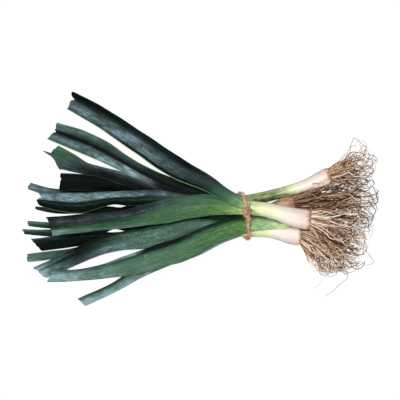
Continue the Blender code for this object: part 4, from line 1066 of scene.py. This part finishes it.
def hull(points):
    # the outline round a set of flat points
    points = sorted(set(map(tuple, np.round(points, 2))))
    outline = []
    for run in (points, points[::-1]):
        side = []
        for p in run:
            while len(side) > 1 and ((side[-1][0] - side[-2][0]) * (p[1] - side[-2][1])
                                     <= (side[-1][1] - side[-2][1]) * (p[0] - side[-2][0])):
                side.pop()
            side.append(p)
        outline += side[:-1]
    return np.array(outline)


def twineX(y, z):
    spec = twineLook
    tuck = spec["tuck"] * np.minimum(0, z - spec["tuckHeight"])
    return spec["x"] + spec["lean"] * z - spec["skew"] * (y - spec["middle"]) + tuck


def twinePath(tied):
    # the tight way round whatever passes through the twine's plane
    spec = twineLook
    points = np.concatenate(tied)
    off = points[:, 0] - twineX(points[:, 1], points[:, 2])
    outline = hull(points[np.abs(off) < spec["radius"] + spec["reach"]][:, 1:])
    turn = np.linspace(0, 2 * math.pi, spec["cornerPoints"], endpoint=False)
    ring = (spec["radius"] + spec["gap"]) * np.stack((np.cos(turn), np.sin(turn)), axis=1)
    outline = hull((outline[:, None, :] + ring[None, :, :]).reshape(-1, 2))
    outline = np.concatenate((outline, outline[:1]))
    at = np.concatenate(([0.0], np.cumsum(np.linalg.norm(np.diff(outline, axis=0), axis=1))))
    places = np.linspace(0, at[-1], spec["points"], endpoint=False)
    y, z = [np.interp(places, at, column) for column in outline.T]
    path = np.stack((twineX(y, z), y, z), axis=1)
    for _ in range(spec["smoothings"]):
        path = (np.roll(path, 1, axis=0) + 2 * path + np.roll(path, -1, axis=0)) / 4
    return path


def knotPaths(path):
    spec = twineLook
    off = np.where(path[:, 2] > path[:, 2].mean(), np.abs(path[:, 1] - spec["knotY"]), np.inf)
    at = int(np.argmin(off))
    centre = path[at]
    ahead = path[(at + 3) % len(path)] - path[at - 3]
    ahead /= np.linalg.norm(ahead)
    out = np.cross(ahead, (1.0, 0.0, 0.0))
    out *= np.sign(out[2])
    side = np.cross(out, ahead)
    turn = np.linspace(0, 2 * math.pi, spec["wrapPoints"], endpoint=False)[:, None]
    wraps = [centre + ahead * shift + out * spec["knotLift"] + spec["wrapRadius"]
             * (side * np.cos(turn) + out * np.sin(turn) + tilt * ahead * np.cos(turn))
             for shift, tilt in spec["wraps"]]
    t = np.linspace(0, 1, spec["endPoints"])[:, None]
    ends = [centre + out * spec["endRise"] + (side * across + ahead * along) * spec["endLength"] * t
            + out * spec["endBow"] * np.sin(math.pi * t) + ahead * curl * t * t
            for across, along, curl in spec["ends"]]
    return wraps, ends


def twineTree(material):
    sizes = dict(Radius=1.0, Yarns=3, Yarn=0.5, Offset=0.5, Twist=1.0, Hairs=1.0, HairLength=1.0,
                 HairShortest=0.5, HairBow=0.5, HairThickness=0.1, Seed=3)
    tree, given = newTree("twisted twine", sizes)
    along = addNode(tree, "GeometryNodeSplineParameter").outputs["Length"]
    turns = addNode(tree, "ShaderNodeMath", {0: along, 1: given["Twist"]}, operation="DIVIDE")
    tilt = addNode(tree, "ShaderNodeMath", {0: turns, 1: 2 * math.pi}, operation="MULTIPLY")
    tilted = addNode(tree, "GeometryNodeSetCurveTilt", {"Curve": given["Geometry"], "Tilt": tilt})
    half, thick = [addNode(tree, "ShaderNodeMath", {0: given["Radius"], 1: given[label]},
                           operation="MULTIPLY") for label in ("Offset", "Yarn")]
    spots = addNode(tree, "GeometryNodeCurvePrimitiveCircle", {
        "Resolution": given["Yarns"], "Radius": half})
    yarn = addNode(tree, "GeometryNodeCurvePrimitiveCircle", {"Resolution": 10, "Radius": thick})
    section = addNode(tree, "GeometryNodeInstanceOnPoints", {"Points": spots, "Instance": yarn})
    section = addNode(tree, "GeometryNodeRealizeInstances", {"Geometry": section})
    rope = addNode(tree, "GeometryNodeCurveToMesh", {
        "Curve": tilted, "Profile Curve": section, "Fill Caps": True})
    # loose hairs, bowed, stand on the yarns: they lean by up to 1.1 radians, turned any way
    sown = addNode(tree, "GeometryNodeDistributePointsOnFaces", {
        "Mesh": rope, "Density": given["Hairs"], "Seed": given["Seed"]})
    line = addNode(tree, "GeometryNodeCurvePrimitiveLine", {"End": (0.0, 0.0, 1.0)})
    line = addNode(tree, "GeometryNodeResampleCurve", {"Curve": line, "Count": 5})
    rise = addNode(tree, "GeometryNodeSplineParameter").outputs["Factor"]
    bow = rise
    for factor in (rise, given["HairBow"]):
        bow = addNode(tree, "ShaderNodeMath", {0: bow, 1: factor}, operation="MULTIPLY")
    lean = addNode(tree, "ShaderNodeCombineXYZ", {"X": bow})
    line = addNode(tree, "GeometryNodeSetPosition", {"Geometry": line, "Offset": lean})
    thin = addNode(tree, "GeometryNodeCurvePrimitiveCircle", {
        "Resolution": 3, "Radius": given["HairThickness"]})
    hair = addNode(tree, "GeometryNodeCurveToMesh", {
        "Curve": line, "Profile Curve": thin, "Fill Caps": True})
    swing = addNode(tree, "FunctionNodeRandomValue", {
        0: (-1.1, -1.1, 0.0), 1: (1.1, 1.1, 6.28), "Seed": 11}, data_type="FLOAT_VECTOR")
    way = addNode(tree, "FunctionNodeRotateRotation", {
        0: sown.outputs["Rotation"], 1: swing}, rotation_space="LOCAL")
    size = addNode(tree, "FunctionNodeRandomValue", {
        2: given["HairShortest"], 3: 1.0, "Seed": 12}).outputs[1]
    size = addNode(tree, "ShaderNodeMath", {0: size, 1: given["HairLength"]}, operation="MULTIPLY")
    hairs = addNode(tree, "GeometryNodeInstanceOnPoints", {
        "Points": sown, "Instance": hair, "Rotation": way, "Scale": size})
    whole = addNode(tree, "GeometryNodeJoinGeometry")
    for part in (rope, hairs):
        setInputs(tree, whole, {0: part})
    return closeTree(tree, whole, material)


def makeTwine(tied, tree):
    path = twinePath(tied)
    wraps, ends = knotPaths(path)
    guide = curveObject("twineTie", [path, *wraps, *ends])
    for spline in guide.data.splines[:1 + len(wraps)]:
        spline.use_cyclic_u = True
    piece = runTree("twineTie", guide, tree, twineShape)
    dress(piece, "twine")


# Making

print("leaves")
leafSkins = {
    "waxy": leafMaterial("waxy leek leaf", 0.05),
    "green": leafMaterial("fresh green leek leaf", 0.12),
    "bare": leafMaterial("dark leek leaf with its wax rubbed off", 0.03),
}
tied = []
dropTree = dewTree(dewMaterial())
for seed, (node, leaf) in enumerate(leafRows.items(), 1):
    piece, points, upper = makeLeaf(node, leaf, leafSkins, seed)
    tied.append(points)
    if node in dewLook:
        makeDew(node, piece, upper, dropTree)

print("shafts")
sheathSkin = shaftMaterial()
for seed, (node, shaft) in enumerate(shaftRows.items(), 31):
    tied.append(makeShaft(node, shaft, sheathSkin, seed))

print("roots")
tuftTree = rootTree(rootMaterial())
for seed, (node, tuft) in enumerate(rootTufts.items(), 61):
    makeRoots(node, tuft, tuftTree, seed)

print("twine")
makeTwine(tied, twineTree(twineMaterial()))


# Table, light and camera

stageLook = dict(
    floorColour="#5c5c5a",
    floorSize=3.0,
    floorDrop=0.0003,      # just under the bunch, so that nothing flickers where it touches
    floorRoughness=0.9,
    floorGlow=0.9,         # the table is a light table, just white: shadows stay faint and no
                           # thin root is lost against it
    frameWidth=0.52,       # what the picture's 400 pixels span
    frameHeight=0.02,      # at this height above the table
    cameraHeight=2.6,
    sensor=36.0,
    sky="#eef2f6",
    skyStrength=0.3,
    lights={
        "keySoftbox": dict(place=(0.1, -1.25, 0.95), size=0.6, power=6, colour="#fffdfa"),
        "topSoftbox": dict(place=(-0.15, 0.3, 1.9), size=0.8, power=37, colour="#fbfbff"),
    },
)


def makeStage():
    spec = stageLook
    bpy.ops.mesh.primitive_plane_add(size=spec["floorSize"], location=(0, 0, -spec["floorDrop"]))
    floor = bpy.context.object
    floor.name = "table"
    material, tree, shader = newMaterial("pale table")
    setInputs(tree, shader, {"Base Color": toLinear(spec["floorColour"]),
                             "Roughness": spec["floorRoughness"],
                             "Emission Color": (1, 1, 1, 1), "Emission Strength": spec["floorGlow"]})
    floor.data.materials.append(material)
    floor.visible_diffuse = False
    floor.visible_glossy = False
    camera = bpy.data.cameras.new("camera")
    camera.sensor_width = spec["sensor"]
    camera.lens = (spec["sensor"] * (spec["cameraHeight"] - spec["frameHeight"])
                   / spec["frameWidth"])
    holder = bpy.data.objects.new("camera", camera)
    holder.location = (0, 0, spec["cameraHeight"])
    bpy.context.scene.collection.objects.link(holder)
    bpy.context.scene.camera = holder
    world = bpy.data.worlds.new("studio")
    world.use_nodes = True
    setInputs(world.node_tree, world.node_tree.nodes["Background"], {
        "Color": toLinear(spec["sky"]), "Strength": spec["skyStrength"]})
    bpy.context.scene.world = world
    bpy.context.scene.view_settings.view_transform = "Standard"


def addLight(name, place, size, power, colour):
    # a round softbox that looks at the middle of the bunch
    lamp = bpy.data.lights.new(name, "AREA")
    lamp.shape = "DISK"
    lamp.size = size
    lamp.energy = power
    lamp.color = toLinear(colour)[:3]
    holder = bpy.data.objects.new(name, lamp)
    holder.location = place
    holder.rotation_euler = (-Vector(place)).to_track_quat("-Z", "Y").to_euler()
    bpy.context.scene.collection.objects.link(holder)


print("stage")
makeStage()
for name, light in stageLook["lights"].items():
    addLight(name, **light)
